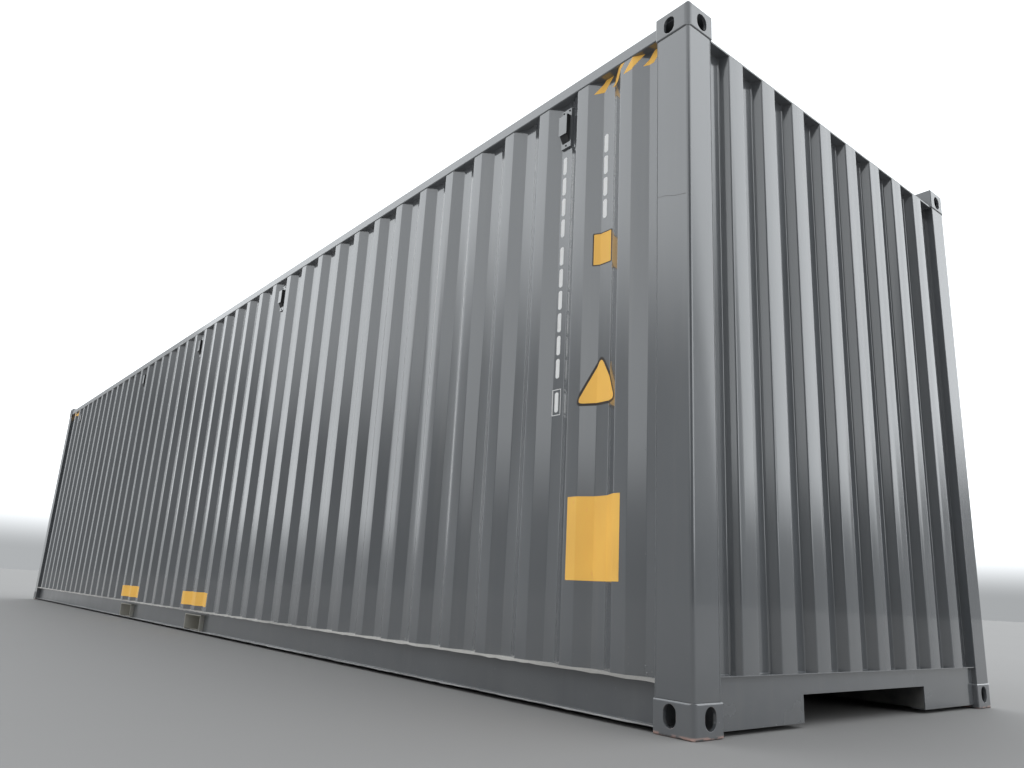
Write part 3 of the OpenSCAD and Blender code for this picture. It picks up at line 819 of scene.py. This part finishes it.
@dataclass
class Roof:
    """The pressed roof sheet, whose ribs run across and taper off at their ends."""

    pitch: float = 209 * MM
    crest: float = 91 * MM
    slope: float = 13.5 * MM
    count: int = 55
    thickness: float = 2 * MM
    rib_y: float = 1109 * MM
    taper: float = 26 * MM
    taper_steps: int = 4
    bays: int = 8

    def rows(self, edge: float) -> tuple[np.ndarray, np.ndarray]:
        """Places of the rows across the roof, and the ribs' share of full height at each.

        Args:
            edge: The sheet's edge.

        Returns:
            The places and the shares.
        """
        casting_y = min(abs(v.y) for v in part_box("casting_front_right_top"))
        half = [(edge, 0.0), ((edge + self.rib_y) / 2, 0.0)]
        for step in range(self.taper_steps + 1):
            t = step / self.taper_steps
            half.append((self.rib_y - self.taper * t, t * t * (3 - 2 * t)))
        if self.rib_y - self.taper > casting_y:
            half.append((casting_y, 1.0))
        inner = half[-1][0]
        half += [(inner * (1 - step / self.bays), 1.0) for step in range(1, self.bays + 1)]
        full = [(-y, s) for y, s in half] + [(y, s) for y, s in reversed(half[:-1])]
        return np.array([y for y, _ in full]), np.array([s for _, s in full])

    def build(self, finishes: Finishes) -> bpy.types.Object:
        """Makes the roof in place of its CAD node."""
        low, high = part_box("roof")
        base = low.z + self.thickness
        sheet = FoldedSheet(
            self.count, -(self.count - 1) * self.pitch / 2, self.pitch, self.crest, self.slope,
            high.z - base, high.z, low.x, high.x, self.thickness, 7 * MM, 3
        )
        casting_x, casting_y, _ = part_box("casting_front_left_top")[0]
        line = sheet.outline()
        rows, share = self.rows(high.y)
        skins = []
        for drop in (0.0, self.thickness):
            rise = base + (line[None, :, 1] - base) * share[:, None] - drop
            along = np.broadcast_to(line[None, :, 0], rise.shape)
            across = np.broadcast_to(rows[:, None], rise.shape)
            skins.append(np.stack([along, across, rise], -1).reshape(-1, 3))
        middle_x = np.abs((line[1:, 0] + line[:-1, 0]) / 2)
        middle_y = np.abs((rows[1:] + rows[:-1]) / 2)
        keep = ~((middle_x[None, :] > casting_x) & (middle_y[:, None] > casting_y))
        points, faces = closed_shell(skins[0], skins[1], grid_faces(keep))
        return add_piece("pressed_roof", points, faces, finishes.get("roof"), Slot.ROOF, ["roof"])


class Solids:
    """A heap of small closed solids that become one piece."""

    def __init__(self) -> None:
        """Starts empty."""
        self.points: list[Point] = []
        self.faces: list[list[int]] = []

    def add(self, points: Iterable[Sequence[float]], faces: Iterable[Sequence[int]]) -> None:
        """Adds one solid by its points and faces."""
        shift = len(self.points)
        self.points += [tuple(p) for p in points]
        self.faces += [[i + shift for i in f] for f in faces]

    def stack(self, rings: Sequence[np.ndarray]) -> None:
        """Adds a solid of rings with equally many points, closed at both ends."""
        size = len(rings[0])
        faces = [list(range(size))[::-1], [(len(rings) - 1) * size + i for i in range(size)]]
        for r in range(len(rings) - 1):
            for i in range(size):
                j = (i + 1) % size
                faces.append([r * size + i, r * size + j, (r + 1) * size + j, (r + 1) * size + i])
        self.add(np.vstack(rings), faces)

    def disc(self, place: Point, out: Point, rings: Outline, sides: int = 12) -> None:
        """Adds a turned solid such as a rivet or bolt head.

        Args:
            place: The middle of its foot.
            out: The direction in which it stands.
            rings: Its radius and height at each ring.
            sides: The number of its sides.
        """
        axis = Vector(out).normalized()
        first = axis.orthogonal().normalized()
        second = axis.cross(first)
        turns = [2 * math.pi * i / sides for i in range(sides)]
        self.stack([
            np.array([
                Vector(place) + axis * height + (first * math.cos(t) + second * math.sin(t)) * radius
                for t in turns
            ])
            for radius, height in rings
        ])

    def bead(self, start: Point, end: Point, radius: float, seed: int) -> None:
        """Adds a weld bead whose width wanders.

        Args:
            start: Its first end.
            end: Its other end.
            radius: Its mean radius.
            seed: The seed of its wandering.
        """
        a, b = Vector(start), Vector(end)
        run = b - a
        first = run.orthogonal().normalized()
        second = run.normalized().cross(first)
        count = max(2, int(run.length / BEAD_STEP))
        rng = np.random.default_rng(seed)
        widths = radius * (1 + 0.28 * rng.uniform(-1, 1, count + 1))
        rings = []
        for number, width in enumerate(widths):
            middle = a + run * (number / count)
            turns = [2 * math.pi / BEAD_SIDES * i for i in range(BEAD_SIDES)]
            rings.append(np.array([
                middle + (first * math.cos(t) + second * math.sin(t)) * width for t in turns
            ]))
        self.stack(rings)

    def piece(
        self, name: str, material: bpy.types.Material, slot: Optional[Slot] = None, **more: object
    ) -> bpy.types.Object:
        """Makes the piece.

        Args:
            name: Its name.
            material: Its finish.
            slot: The record's slot of that finish.
            more: What add_piece takes besides.

        Returns:
            The piece.
        """
        return add_piece(name, np.array(self.points), self.faces, material, slot, **more)


@dataclass
class Ventilators:
    """Covered air vents in the recesses of a side wall, riveted to it."""

    side: Side
    wall: SideWall
    pan_w: float = 66 * MM
    pan_h: float = 210 * MM
    pan_t: float = 10 * MM
    pan_low: float = 2546 * MM
    cover_w: float = 54 * MM
    cover_low: float = 2607 * MM
    cover_high: float = 2717 * MM
    cover_t: float = 2 * MM
    brow: float = 9 * MM
    core_inset: float = 3 * MM
    core_low: float = 2573 * MM
    rivet_r: float = 5 * MM
    rivet_edge: float = 12 * MM
    recesses: tuple[int, ...] = (1, 13, 20, 27, 39)

    def middle(self, recess: int) -> float:
        """Where a recess has its middle along the wall."""
        sheet = self.wall.sheet
        last = sheet.first + (sheet.count - 1) * sheet.pitch
        return last - sheet.pitch / 2 - recess * sheet.pitch

    def across(self, solids: Solids, x: float, width: float, profile: Outline) -> None:
        """Adds a solid of one section all along its width.

        Args:
            solids: The heap it is added to.
            x: The middle of its width.
            width: Its width along the wall.
            profile: The section, as distances from the middle plane and heights.
        """
        solids.stack([
            np.array([(x + end * width / 2, self.side.value * out, z) for out, z in profile])
            for end in (-1, 1)
        ])

    def cover(self, foot: float, reach: float) -> Outline:
        """The section of a cover: a bent sheet, open below.

        Args:
            foot: Where it meets the pan.
            reach: Where its face stands.

        Returns:
            The section.
        """
        turns = np.linspace(0, math.pi / 2, 6)
        rings = []
        for inset, bend in ((0.0, self.brow), (self.cover_t, self.brow - self.cover_t)):
            path = [(foot, self.cover_high - inset)]
            path += [
                (reach - self.brow + bend * math.sin(t), self.cover_high - self.brow + bend * math.cos(t))
                for t in turns
            ]
            rings.append(path + [(reach - inset, self.cover_low)])
        return rings[0] + rings[1][::-1]

    def build(self, finishes: Finishes) -> None:
        """Makes pans and covers in place of their CAD node, and cores and rivets in black rubber as
        painted shade.
        """
        node = f"ventilators_{self.side.label}"
        low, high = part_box(node)
        foot, reach = sorted((abs(low.y), abs(high.y)))
        face = foot + self.pan_t
        pan_high = self.pan_low + self.pan_h
        core_out = reach - self.cover_t - self.core_inset
        core_top = self.cover_high - self.cover_t - self.core_inset
        core = [
            (foot, self.core_low), (face, self.core_low), (core_out, self.cover_low + self.core_inset),
            (core_out, core_top), (foot, core_top),
        ]
        pan = [(foot, self.pan_low), (face, self.pan_low), (face, pan_high), (foot, pan_high)]
        head = [(self.rivet_r, -0.5 * MM), (self.rivet_r, 1 * MM), (0.7 * self.rivet_r, 3 * MM)]
        spots = [
            (-self.pan_w / 2 + self.rivet_edge, pan_high - self.rivet_edge),
            (self.pan_w / 2 - self.rivet_edge, pan_high - self.rivet_edge),
            (0.0, self.pan_low + self.rivet_edge),
        ]
        # Painted shade: the vents' inner cores and the rivet heads are black rubber, standing for the
        # shaded, perforated inside of each vent and the shadows round the rivets.
        covers, shade_solids = Solids(), Solids()
        for recess in self.recesses:
            x = self.middle(recess)
            self.across(covers, x, self.pan_w, pan)
            self.across(covers, x, self.cover_w, self.cover(face - 1 * MM, reach))
            self.across(shade_solids, x, self.cover_w - 2 * self.core_inset, core)
            for shift, z in spots:
                shade_solids.disc((x + shift, self.side.value * face, z), (0, self.side.value, 0), head)
        covers.piece(f"vent_covers_{self.side.label}", finishes.get("vent"), Slot.VENT, replaces=[node])
        shade_solids.piece(f"vent_cores_{self.side.label}", finishes.get("rubber"))


def bar(
    x: float, z: float, width: float, height: float, corner: float = 0.0, lean: float = 0.0
) -> Outline:
    """A bar or panel, given by its middle.

    Args:
        x: The middle along the wall.
        z: The middle's height.
        width: The bar's width.
        height: The bar's height.
        corner: The radius of its corners.
        lean: How far its top is shifted along the wall.

    Returns:
        The bar's outline.
    """
    half_w, half_h = width / 2, height / 2
    if corner <= 0:
        ring = [(-half_w, -half_h), (half_w, -half_h), (half_w, half_h), (-half_w, half_h)]
    else:
        ring = []
        for k, (sx, sz) in enumerate(((1, -1), (1, 1), (-1, 1), (-1, -1))):
            for step in range(CORNER_STEPS + 1):
                turn = math.pi / 2 * (k - 1 + step / CORNER_STEPS)
                ring.append((
                    sx * (half_w - corner) + corner * math.cos(turn),
                    sz * (half_h - corner) + corner * math.sin(turn),
                ))
    return [(x + a + lean * b / height, z + b) for a, b in ring]


def triangle(x: float, low: float, width: float, height: float, corner: float) -> Outline:
    """An upright triangle with rounded corners.

    Args:
        x: The middle of its base.
        low: The height of its base.
        width: The base's width.
        height: The triangle's height.
        corner: The radius of its corners.

    Returns:
        The triangle's outline.
    """
    corners = [Vector((x - width / 2, low)), Vector((x + width / 2, low)), Vector((x, low + height))]
    ring = []
    for k, here in enumerate(corners):
        to, away = corners[k - 1] - here, corners[(k + 1) % 3] - here
        reach = corner / math.tan(to.angle(away) / 2)
        a, b = here + to.normalized() * reach, here + away.normalized() * reach
        for step in range(CORNER_STEPS + 1):
            t = step / CORNER_STEPS
            point = a * (1 - t) ** 2 + here * 2 * t * (1 - t) + b * t * t
            ring.append((point.x, point.y))
    return ring


@dataclass
class Markings:
    """Plain films and stencilled marks that lie on the folds of a side wall."""

    side: Side
    wall: SideWall
    lift: float = 0.35 * MM
    film_t: float = 0.25 * MM
    mark_w: float = 24 * MM
    mark_h: float = 92 * MM
    mark_pitch: float = 110 * MM
    letter_x: float = 5.314
    letter_low: float = 2.125
    digit_low: float = 1.431
    box_z: float = 1.274
    code_x: float = 5.589
    code_low: float = 2.128
    mark_r: float = 10 * MM
    box_w: float = 54 * MM
    box_h: float = 120 * MM
    box_line: float = 3 * MM
    stripe_low: float = 2.735
    stripe_x: float = 5.576
    stripe_w: float = 50 * MM
    stripe_pitch: float = 99 * MM
    stripe_lean: float = 56 * MM
    panel_r: float = 3 * MM
    rim: float = 5 * MM
    small: Rect = (5.5855, 1.9365, 0.101, 0.157)
    large: Rect = (5.593, 0.672, 0.294, 0.336)
    triangle_x: float = 5.589
    border: Rect = (1.222, 0.240, 0.232, 26 * MM)
    inside: Rect = (1.233, 0.206, 0.200, 17 * MM)
    pocket_z: float = 0.266
    pocket_h: float = 0.107
    pockets: Outline = field(default_factory=lambda: [(-0.9585, 0.649), (0.9875, 0.644)])

    def lay(self, name: str, shapes: Sequence[Outline], layer: int, material: bpy.types.Material) -> None:
        """Lays flat shapes on the wall so that they follow its folds.

        Args:
            name: The piece's name, without the side.
            shapes: The outlines, along the wall and up.
            layer: How many films lie under this one.
            material: The film's finish.
        """
        shape = bmesh.new()
        for ring in shapes:
            shape.faces.new([shape.verts.new((a, 0.0, b)) for a, b in ring])
        reach = [f(p[0] for s in shapes for p in s) for f in (min, max)]
        folds = [a for a in self.wall.sheet.outline()[:, 0] if reach[0] < a < reach[1]]
        cuts = [((a, 0, 0), (1, 0, 0)) for a in folds]
        cuts += [((0, 0, z), (0, 0, 1)) for z in self.wall.heights]
        for place, normal in cuts:
            everything = shape.verts[:] + shape.edges[:] + shape.faces[:]
            bmesh.ops.bisect_plane(shape, geom=everything, plane_co=place, plane_no=normal)
        shape.verts.index_update()
        flat = np.array([(v.co.x, v.co.z) for v in shape.verts])
        faces = [[v.index for v in f.verts] for f in shape.faces]
        shape.free()
        out = self.wall.out(flat[:, 0], flat[:, 1]) + self.lift + layer * self.film_t
        skins = [
            np.stack([flat[:, 0], self.side.value * (out - back), flat[:, 1]], -1)
            for back in (0.0, self.film_t)
        ]
        points, closed = closed_shell(skins[0], skins[1], faces)
        add_piece(f"{name}_{self.side.label}", points, closed, material, sharp=20.0)

    def marks(self) -> list[Outline]:
        """Plain white bars where the wall carries its upright rows of marks."""
        rows = [(self.letter_x, self.letter_low, 4), (self.letter_x, self.digit_low, 6)]
        rows.append((self.code_x, self.code_low, 4))
        return [
            bar(x, low + k * self.mark_pitch, self.mark_w, self.mark_h, self.mark_r)
            for x, low, count in rows
            for k in range(count)
        ]

    def box_mark(self) -> list[Outline]:
        """The boxed mark at the foot of the long row: four thin lines and a bar."""
        x, z, line, width, height = self.letter_x, self.box_z, self.box_line, self.box_w, self.box_h
        sides = [bar(x + s * (width - line) / 2, z, line, height) for s in (-1, 1)]
        ends = [bar(x, z + s * (height - line) / 2, width - 2 * line, line) for s in (-1, 1)]
        return sides + ends + [bar(x, z, self.mark_w, self.mark_h, self.mark_r)]

    def stripes(self) -> list[Outline]:
        """Hazard stripes under the top rail at both ends of the wall."""
        low, high = self.stripe_low, self.wall.heights[-1] - 1 * MM
        return [
            bar(
                end * (self.stripe_x + k * self.stripe_pitch), (low + high) / 2,
                self.stripe_w, high - low, lean=self.stripe_lean,
            )
            for end in (-1, 1)
            for k in range(4)
        ]

    def build(self, finishes: Finishes) -> None:
        """Makes all marks of the side."""
        amber, ink = finishes.get("amber"), finishes.get("ink")
        self.lay("white_marks", self.marks() + self.box_mark(), 0, finishes.get("white"))
        self.lay("hazard_stripes", self.stripes(), 0, amber)
        x, z, width, height = self.small
        self.lay("panel_borders", [bar(x, z, width, height, self.rim)], 0, ink)
        inner = bar(x, z, width - 2 * self.rim, height - 2 * self.rim, self.panel_r)
        self.lay("amber_panels", [inner, bar(*self.large, self.panel_r)], 1, amber)
        self.lay("triangle_border", [triangle(self.triangle_x, *self.border)], 0, ink)
        self.lay("amber_triangle", [triangle(self.triangle_x, *self.inside)], 1, amber)
        labels = [bar(x, self.pocket_z, w, self.pocket_h, self.panel_r) for x, w in self.pockets]
        self.lay("pocket_labels", labels, 0, amber)


@dataclass
class Seams:
    """Weld beads, painted ridges and pale strips, partly wear and partly painted highlight, where walls,
    rails and posts meet.
    """

    radius: float = 3 * MM
    ridge_r: float = 2 * MM
    film_t: float = 0.7 * MM
    strip_step: float = 45 * MM
    wander: float = 2.2 * MM
    inset: float = 3 * MM
    flange_t: float = 4.5 * MM
    flange_w: float = 38 * MM
    flange_strip: float = 14 * MM
    lip: float = 10 * MM
    post_r: float = 14 * MM
    scratch_r: float = 0.55 * MM
    scratch: Outline = field(default_factory=lambda: [(0.0, 2.035), (45 * MM, 2.028), (90 * MM, 2.012)])
    scratch_end: tuple[float, float] = (20 * MM, 2.001)
    spatter: tuple[Point, ...] = (
        (5.872, 0.605, 3 * MM), (5.875, 0.215, 4.5 * MM), (5.882, 0.192, 4 * MM), (5.867, 1.0, 3 * MM)
    )
    spatter_sides: int = 7
    wall_depth: float = 36 * MM
    seeds: Iterator[int] = field(default_factory=lambda: iter(range(100, 400)))

    def strip(self, solids: Solids, side: Side, path: Outline, seed: int) -> None:
        """Adds a thin pale strip along a rail, whose lower edge wanders; it is partly worn paint and
        partly painted highlight.

        Args:
            solids: The heap it is added to.
            side: The rail's side.
            path: The strip's section, as distances from the middle plane and heights.
            seed: The seed of its wandering.
        """
        low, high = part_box("bottom_rail_left")
        count = int((high.x - low.x) / self.strip_step)
        rng = np.random.default_rng(seed)
        shift = rng.uniform(-1, 1, count + 1) * self.wander
        skins = []
        for lift in (self.film_t, 0.0):
            rows = []
            for number, x in enumerate(np.linspace(low.x, high.x, count + 1)):
                row = [(x, side.value * (out + lift), z + lift) for out, z in path]
                out, z = path[-1]
                row[-1] = (x, side.value * (out + lift), z + shift[number])
                rows.append(row)
            skins.append(np.array(rows).reshape(-1, 3))
        keep = np.ones((count, len(path) - 1), bool)
        solids.add(*closed_shell(skins[0], skins[1], grid_faces(keep)))

    def build(self, finishes: Finishes) -> None:
        """Makes the beads of the walls and posts and the strips of the bottom rails."""
        wall_low, wall_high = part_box("side_wall_left")
        front_low, front_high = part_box("front_wall")
        rail_low, rail_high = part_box("bottom_rail_left")
        beads, lips, flanges = Solids(), Solids(), Solids()
        for side in Side:
            sign = side.value
            for x in (wall_low.x, wall_high.x):
                y = sign * (wall_low.y + self.inset)
                beads.bead((x, y, wall_low.z), (x, y, wall_high.z), self.radius, next(self.seeds))
            top, edge = rail_high.z, rail_high.y
            path = [(wall_low.y, top), (edge, top), (edge, top - self.lip)]
            self.strip(lips, side, path, next(self.seeds))
            foot, reach = rail_low.z, rail_low.y + self.flange_w
            top = foot + self.flange_t
            path = [(reach - self.flange_strip, top), (reach, top), (reach, foot + 1 * MM)]
            self.strip(flanges, side, path, next(self.seeds))
            y = sign * (front_high.y - 1 * MM)
            x = front_low.x + self.inset
            beads.bead((x, y, front_low.z), (x, y, front_high.z), self.radius, next(self.seeds))
        start, end = (x, front_low.y, front_low.z), (x, front_high.y, front_low.z)
        beads.bead(start, end, self.radius, next(self.seeds))
        beads.piece("wall_weld_beads", finishes.get("bead"), Slot.FRAME, sharp=WELD_SHARP)
        lips.piece("rail_lip_strips", finishes.get("lip"))
        flanges.piece("rail_flange_strips", finishes.get("flange"))
        self.posts(finishes)

    def posts(self, finishes: Finishes) -> None:
        """Adds the ridges along the posts' inner edges and, at their heads, dark beads that paint the
        shadow gap there.
        """
        ridges, shadow_beads = Solids(), Solids()
        for post in ("front_post_left", "front_post_right", "door_post_left", "door_post_right"):
            low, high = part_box(post)
            outer_x, inner_x = sorted((low.x, high.x), key=abs, reverse=True)
            outer_y, inner_y = sorted((low.y, high.y), key=abs, reverse=True)
            y = outer_y - math.copysign(self.ridge_r / 2, outer_y)
            x = outer_x - math.copysign(self.ridge_r / 2, outer_x)
            ridges.bead((inner_x, y, low.z), (inner_x, y, high.z), self.ridge_r, next(self.seeds))
            ridges.bead((x, inner_y, low.z), (x, inner_y, high.z), self.ridge_r, next(self.seeds))
            bend_x, bend_y = math.copysign(self.post_r, outer_x), math.copysign(self.post_r, outer_y)
            ends = [((inner_x, y, high.z), (outer_x - bend_x, y, high.z))]
            ends.append(((x, outer_y - bend_y, high.z), (x, inner_y, high.z)))
            # Painted shadow: dark rubber beads stand for the shadow gap where each post meets its top
            # casting.
            for start, end in ends:
                shadow_beads.bead(start, end, 0.8 * self.ridge_r, next(self.seeds))
        ridges.piece("post_ridges", finishes.get("ridge"), Slot.FRAME, sharp=WELD_SHARP)
        self.scars(finishes)
        shadow_beads.piece("post_head_painted_shadow", finishes.get("rubber"), sharp=WELD_SHARP)

    def scars(self, finishes: Finishes) -> None:
        """Adds the dark scratch across a front post and pale spatter on the wall beside it."""
        scratch, spatter = Solids(), Solids()
        low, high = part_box("front_post_right")
        y = low.y - 0.2 * MM
        path = [(low.x + x, y, z) for x, z in self.scratch]
        path.append((high.x - self.scratch_end[0], y, self.scratch_end[1]))
        for start, end in zip(path, path[1:]):
            scratch.bead(start, end, self.scratch_r, next(self.seeds))
        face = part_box("side_wall_right")[1].y - self.wall_depth
        for x, z, radius in self.spatter:
            rings = [(radius, -1 * MM), (radius, 0.5 * MM), (radius * 0.6, 1.5 * MM)]
            spatter.disc((x, face, z), (0, -1, 0), rings, self.spatter_sides)
        scratch.piece("post_scratch", finishes.get("ink"), sharp=WELD_SHARP)
        spatter.piece("wall_spatter", finishes.get("bead"), sharp=WELD_SHARP)


@dataclass
class DoorFittings:
    """Bolts and rivets of the door gear."""

    side: Side
    rods: tuple[float, ...] = (270 * MM, 830 * MM)
    guides: tuple[float, ...] = (345 * MM, 1020 * MM, 1470 * MM, 2548 * MM)
    hinges: tuple[float, ...] = (485 * MM, 1126 * MM, 1767 * MM, 2408 * MM)
    guide_t: float = 5 * MM
    guide_step: float = 33.5 * MM
    blade_t: float = 10 * MM
    blade_y: float = 1085 * MM
    blade_step: float = 22 * MM
    bolt_r: float = 6.5 * MM
    head: float = 5 * MM

    def build(self, finishes: Finishes) -> None:
        """Makes the bolts of the guides and the hinge blades."""
        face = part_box(f"door_frame_{self.side.label}")[0].x
        bolts = Solids()
        rim = self.head - 1 * MM
        rings = [(self.bolt_r, -1 * MM), (self.bolt_r, rim), (self.bolt_r * 0.8, self.head)]
        sign = self.side.value
        for y in self.rods:
            for z in self.guides:
                for shift in (-self.guide_step, self.guide_step):
                    place = (face - self.guide_t, sign * (y + shift), z)
                    bolts.disc(place, (-1, 0, 0), rings, BOLT_SIDES)
        for z in self.hinges:
            for shift in (-self.blade_step, self.blade_step):
                place = (face - self.blade_t, sign * self.blade_y, z + shift)
                bolts.disc(place, (-1, 0, 0), rings)
        bolts.piece(f"door_bolts_{self.side.label}", finishes.get("zinc"), Slot.ZINC)


@dataclass
class CadFinishes:
    """The finish of each CAD node that stays as it is."""

    by_start: dict[str, str] = field(default_factory=lambda: {
        "casting_": "casting",
        "front_post_": "post",
        "door_post_": "post",
        "front_header": "post",
        "front_sill": "post",
        "door_header": "door",
        "door_sill": "door",
        "top_rail_": "rail",
        "bottom_rail_": "shaded_bottom_rail",
        "side_wall_": "wall",
        "front_wall": "wall",
        "roof": "roof",
        "floor_boards": "plywood",
        "cross_members": "under",
        "gooseneck_tunnel": "under",
        "fork_pockets": "pocket",
        "door_frame_": "door",
        "door_panel_": "door",
        "door_hinges_": "door",
        "lock_rods_": "zinc",
        "lock_handles_": "zinc",
        "cam_keepers": "zinc",
        "door_gasket": "rubber",
        "ventilators_": "vent",
    })

    def dress(self, finishes: Finishes) -> None:
        """Gives every CAD node its finish."""
        for name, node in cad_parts.items():
            starts = [s for s in self.by_start if name.startswith(s)]
            node.data.materials.clear()
            node.data.materials.append(finishes.get(self.by_start[starts[0]]))
            LOG.info("%s dressed as %s", name, self.by_start[starts[0]])


@dataclass(frozen=True)
class Screen:
    """A dim screen round the object, by its middle, half width and top in degrees.

    Its own brightness and the share of the sky's that is left above it come with it.
    """

    turn: float
    half: float
    top: float
    dim: float
    above: float = 1.0


@dataclass
class Studio:
    """A pale floor, a soft sky over dim screens and the camera at the photograph's angle."""

    floor_half: float = 220.0
    floor_colour: Colour = (0.27, 0.264, 0.26)
    sky_side: float = 1.8
    sky_top: float = 1.55
    sky_tint: Colour = (0.965, 1.0, 1.025)
    dim_right: float = 0.45
    dim_left: float = 0.40
    skyline: float = 3.0
    soft: float = 1.5
    low_edge: tuple[float, float] = (0.75, -0.02)
    high_edge: tuple[float, float] = (1.25, 0.03)
    rise: tuple[float, float] = (0.38, 0.72)
    screens: tuple[Screen, ...] = (
        Screen(-172, 8.5, 26, 0.50),
        Screen(-156, 9, 3, 0.50, 0.87),
        Screen(-136, 12, 21.5, 0.43, 0.93),
        Screen(-115, 10.5, 16, 0.28, 0.72),
        Screen(-98, 7, 12.5, 0.28, 0.68),
        Screen(-82, 9, 8.0, 0.36, 0.76),
        Screen(-70, 5, 8, 0.20, 0.62),
        Screen(-32, 34, 38, 0.10),
        Screen(50.5, 3, 27, 0.27),
        Screen(59, 5.5, 6.3, 0.32, 0.96),
        Screen(70, 5.5, 9.2, 0.30, 0.80),
    )
    eye: Point = (7.84771, -3.47029, 0.43986)
    right: Point = (0.63635156, 0.76971305, 0.05097566)
    down: Point = (-0.16709124, 0.20205076, -0.96501607)
    forward: Point = (-0.75308513, 0.60557189, 0.25718763)
    lens: float = 27.641
    sensor: float = 36.0

    def floor(self) -> None:
        """Lays the floor just under the castings."""
        half, z = self.floor_half, -1 * MM
        mesh = bpy.data.meshes.new("studio_floor")
        ring = [(-half, -half, z), (half, -half, z), (half, half, z), (-half, half, z)]
        mesh.from_pydata(ring, [], [(0, 1, 2, 3)])
        g = Coat("studio_floor")
        cloud = g.noise((0.4, 0.4, 0.4), 3.0)
        colour = g.varied(self.floor_colour, 0.03, cloud)
        mesh.materials.append(g.finish(colour, 0.8, None))
        floor = bpy.data.objects.new("studio_floor", mesh)
        bpy.context.scene.collection.objects.link(floor)

    def sky(self) -> None:
        """Makes a soft sky that starts above the screens."""
        world = bpy.data.worlds.new("studio_sky")
        bpy.context.scene.world = world
        world.use_nodes = True
        g = Graph(world.node_tree)
        x, y, up = g.split(g.nodes.new("ShaderNodeTexCoord").outputs["Generated"])
        turn = g.math("ARCTAN2", y, x)
        edge: Feed = math.sin(math.radians(self.skyline))
        dim: Feed = g.ramp(y, 0.0, 0.6, self.dim_right, self.dim_left)
        share: Feed = 1.0
        for screen in self.screens:
            away = g.math("SUBTRACT", turn, math.radians(screen.turn))
            away = g.math("ABSOLUTE", g.math("WRAP", away, math.pi, -math.pi))
            ends = (math.radians(screen.half + self.soft), math.radians(screen.half - self.soft))
            edge = g.math("MAXIMUM", edge, g.ramp(away, *ends, 0.0, math.sin(math.radians(screen.top))))
            dim = g.ramp(away, *ends, dim, screen.dim)
            share = g.ramp(away, *ends, share, screen.above)
        fades = (self.low_edge, self.high_edge)
        low, high = (g.math("ADD", g.product(edge, factor), shift) for factor, shift in fades)
        bright = g.product(g.ramp(up, *self.rise, self.sky_side, self.sky_top), share)
        shine = g.nodes.new("ShaderNodeBackground")
        shine.inputs["Color"].default_value = toned(self.sky_tint, 1.0)
        g.put(shine.inputs["Strength"], g.ramp(up, low, high, dim, bright))
        output = g.nodes.new("ShaderNodeOutputWorld")
        g.links.new(shine.outputs[0], output.inputs["Surface"])

    def camera(self) -> None:
        """Sets the camera where the photograph was taken from."""
        data = bpy.data.cameras.new("photo_camera")
        data.sensor_fit = "HORIZONTAL"
        data.sensor_width = self.sensor
        data.lens = self.lens
        data.clip_end = 1000.0
        camera = bpy.data.objects.new("photo_camera", data)
        turn = Matrix((self.right, -Vector(self.down), -Vector(self.forward))).transposed()
        camera.matrix_world = Matrix.Translation(self.eye) @ turn.to_4x4()
        bpy.context.scene.collection.objects.link(camera)
        bpy.context.scene.camera = camera

    def build(self) -> None:
        """Sets up the whole studio."""
        self.floor()
        self.sky()
        self.camera()
        bpy.context.scene.view_settings.view_transform = "Standard"


def main() -> None:
    """Builds every sub-assembly in order."""
    logging.basicConfig(level=logging.INFO, format="%(name)s: %(message)s")
    finishes = Finishes()
    CadFinishes().dress(finishes)
    for side in Side:
        wall = SideWall(side)
        wall.build(finishes)
        Ventilators(side, wall).build(finishes)
        Markings(side, wall).build(finishes)
        DoorFittings(side).build(finishes)
    FrontWall().build(finishes)
    Roof().build(finishes)
    Seams().build(finishes)
    Studio().build()


if __name__ == "__main__":
    main()
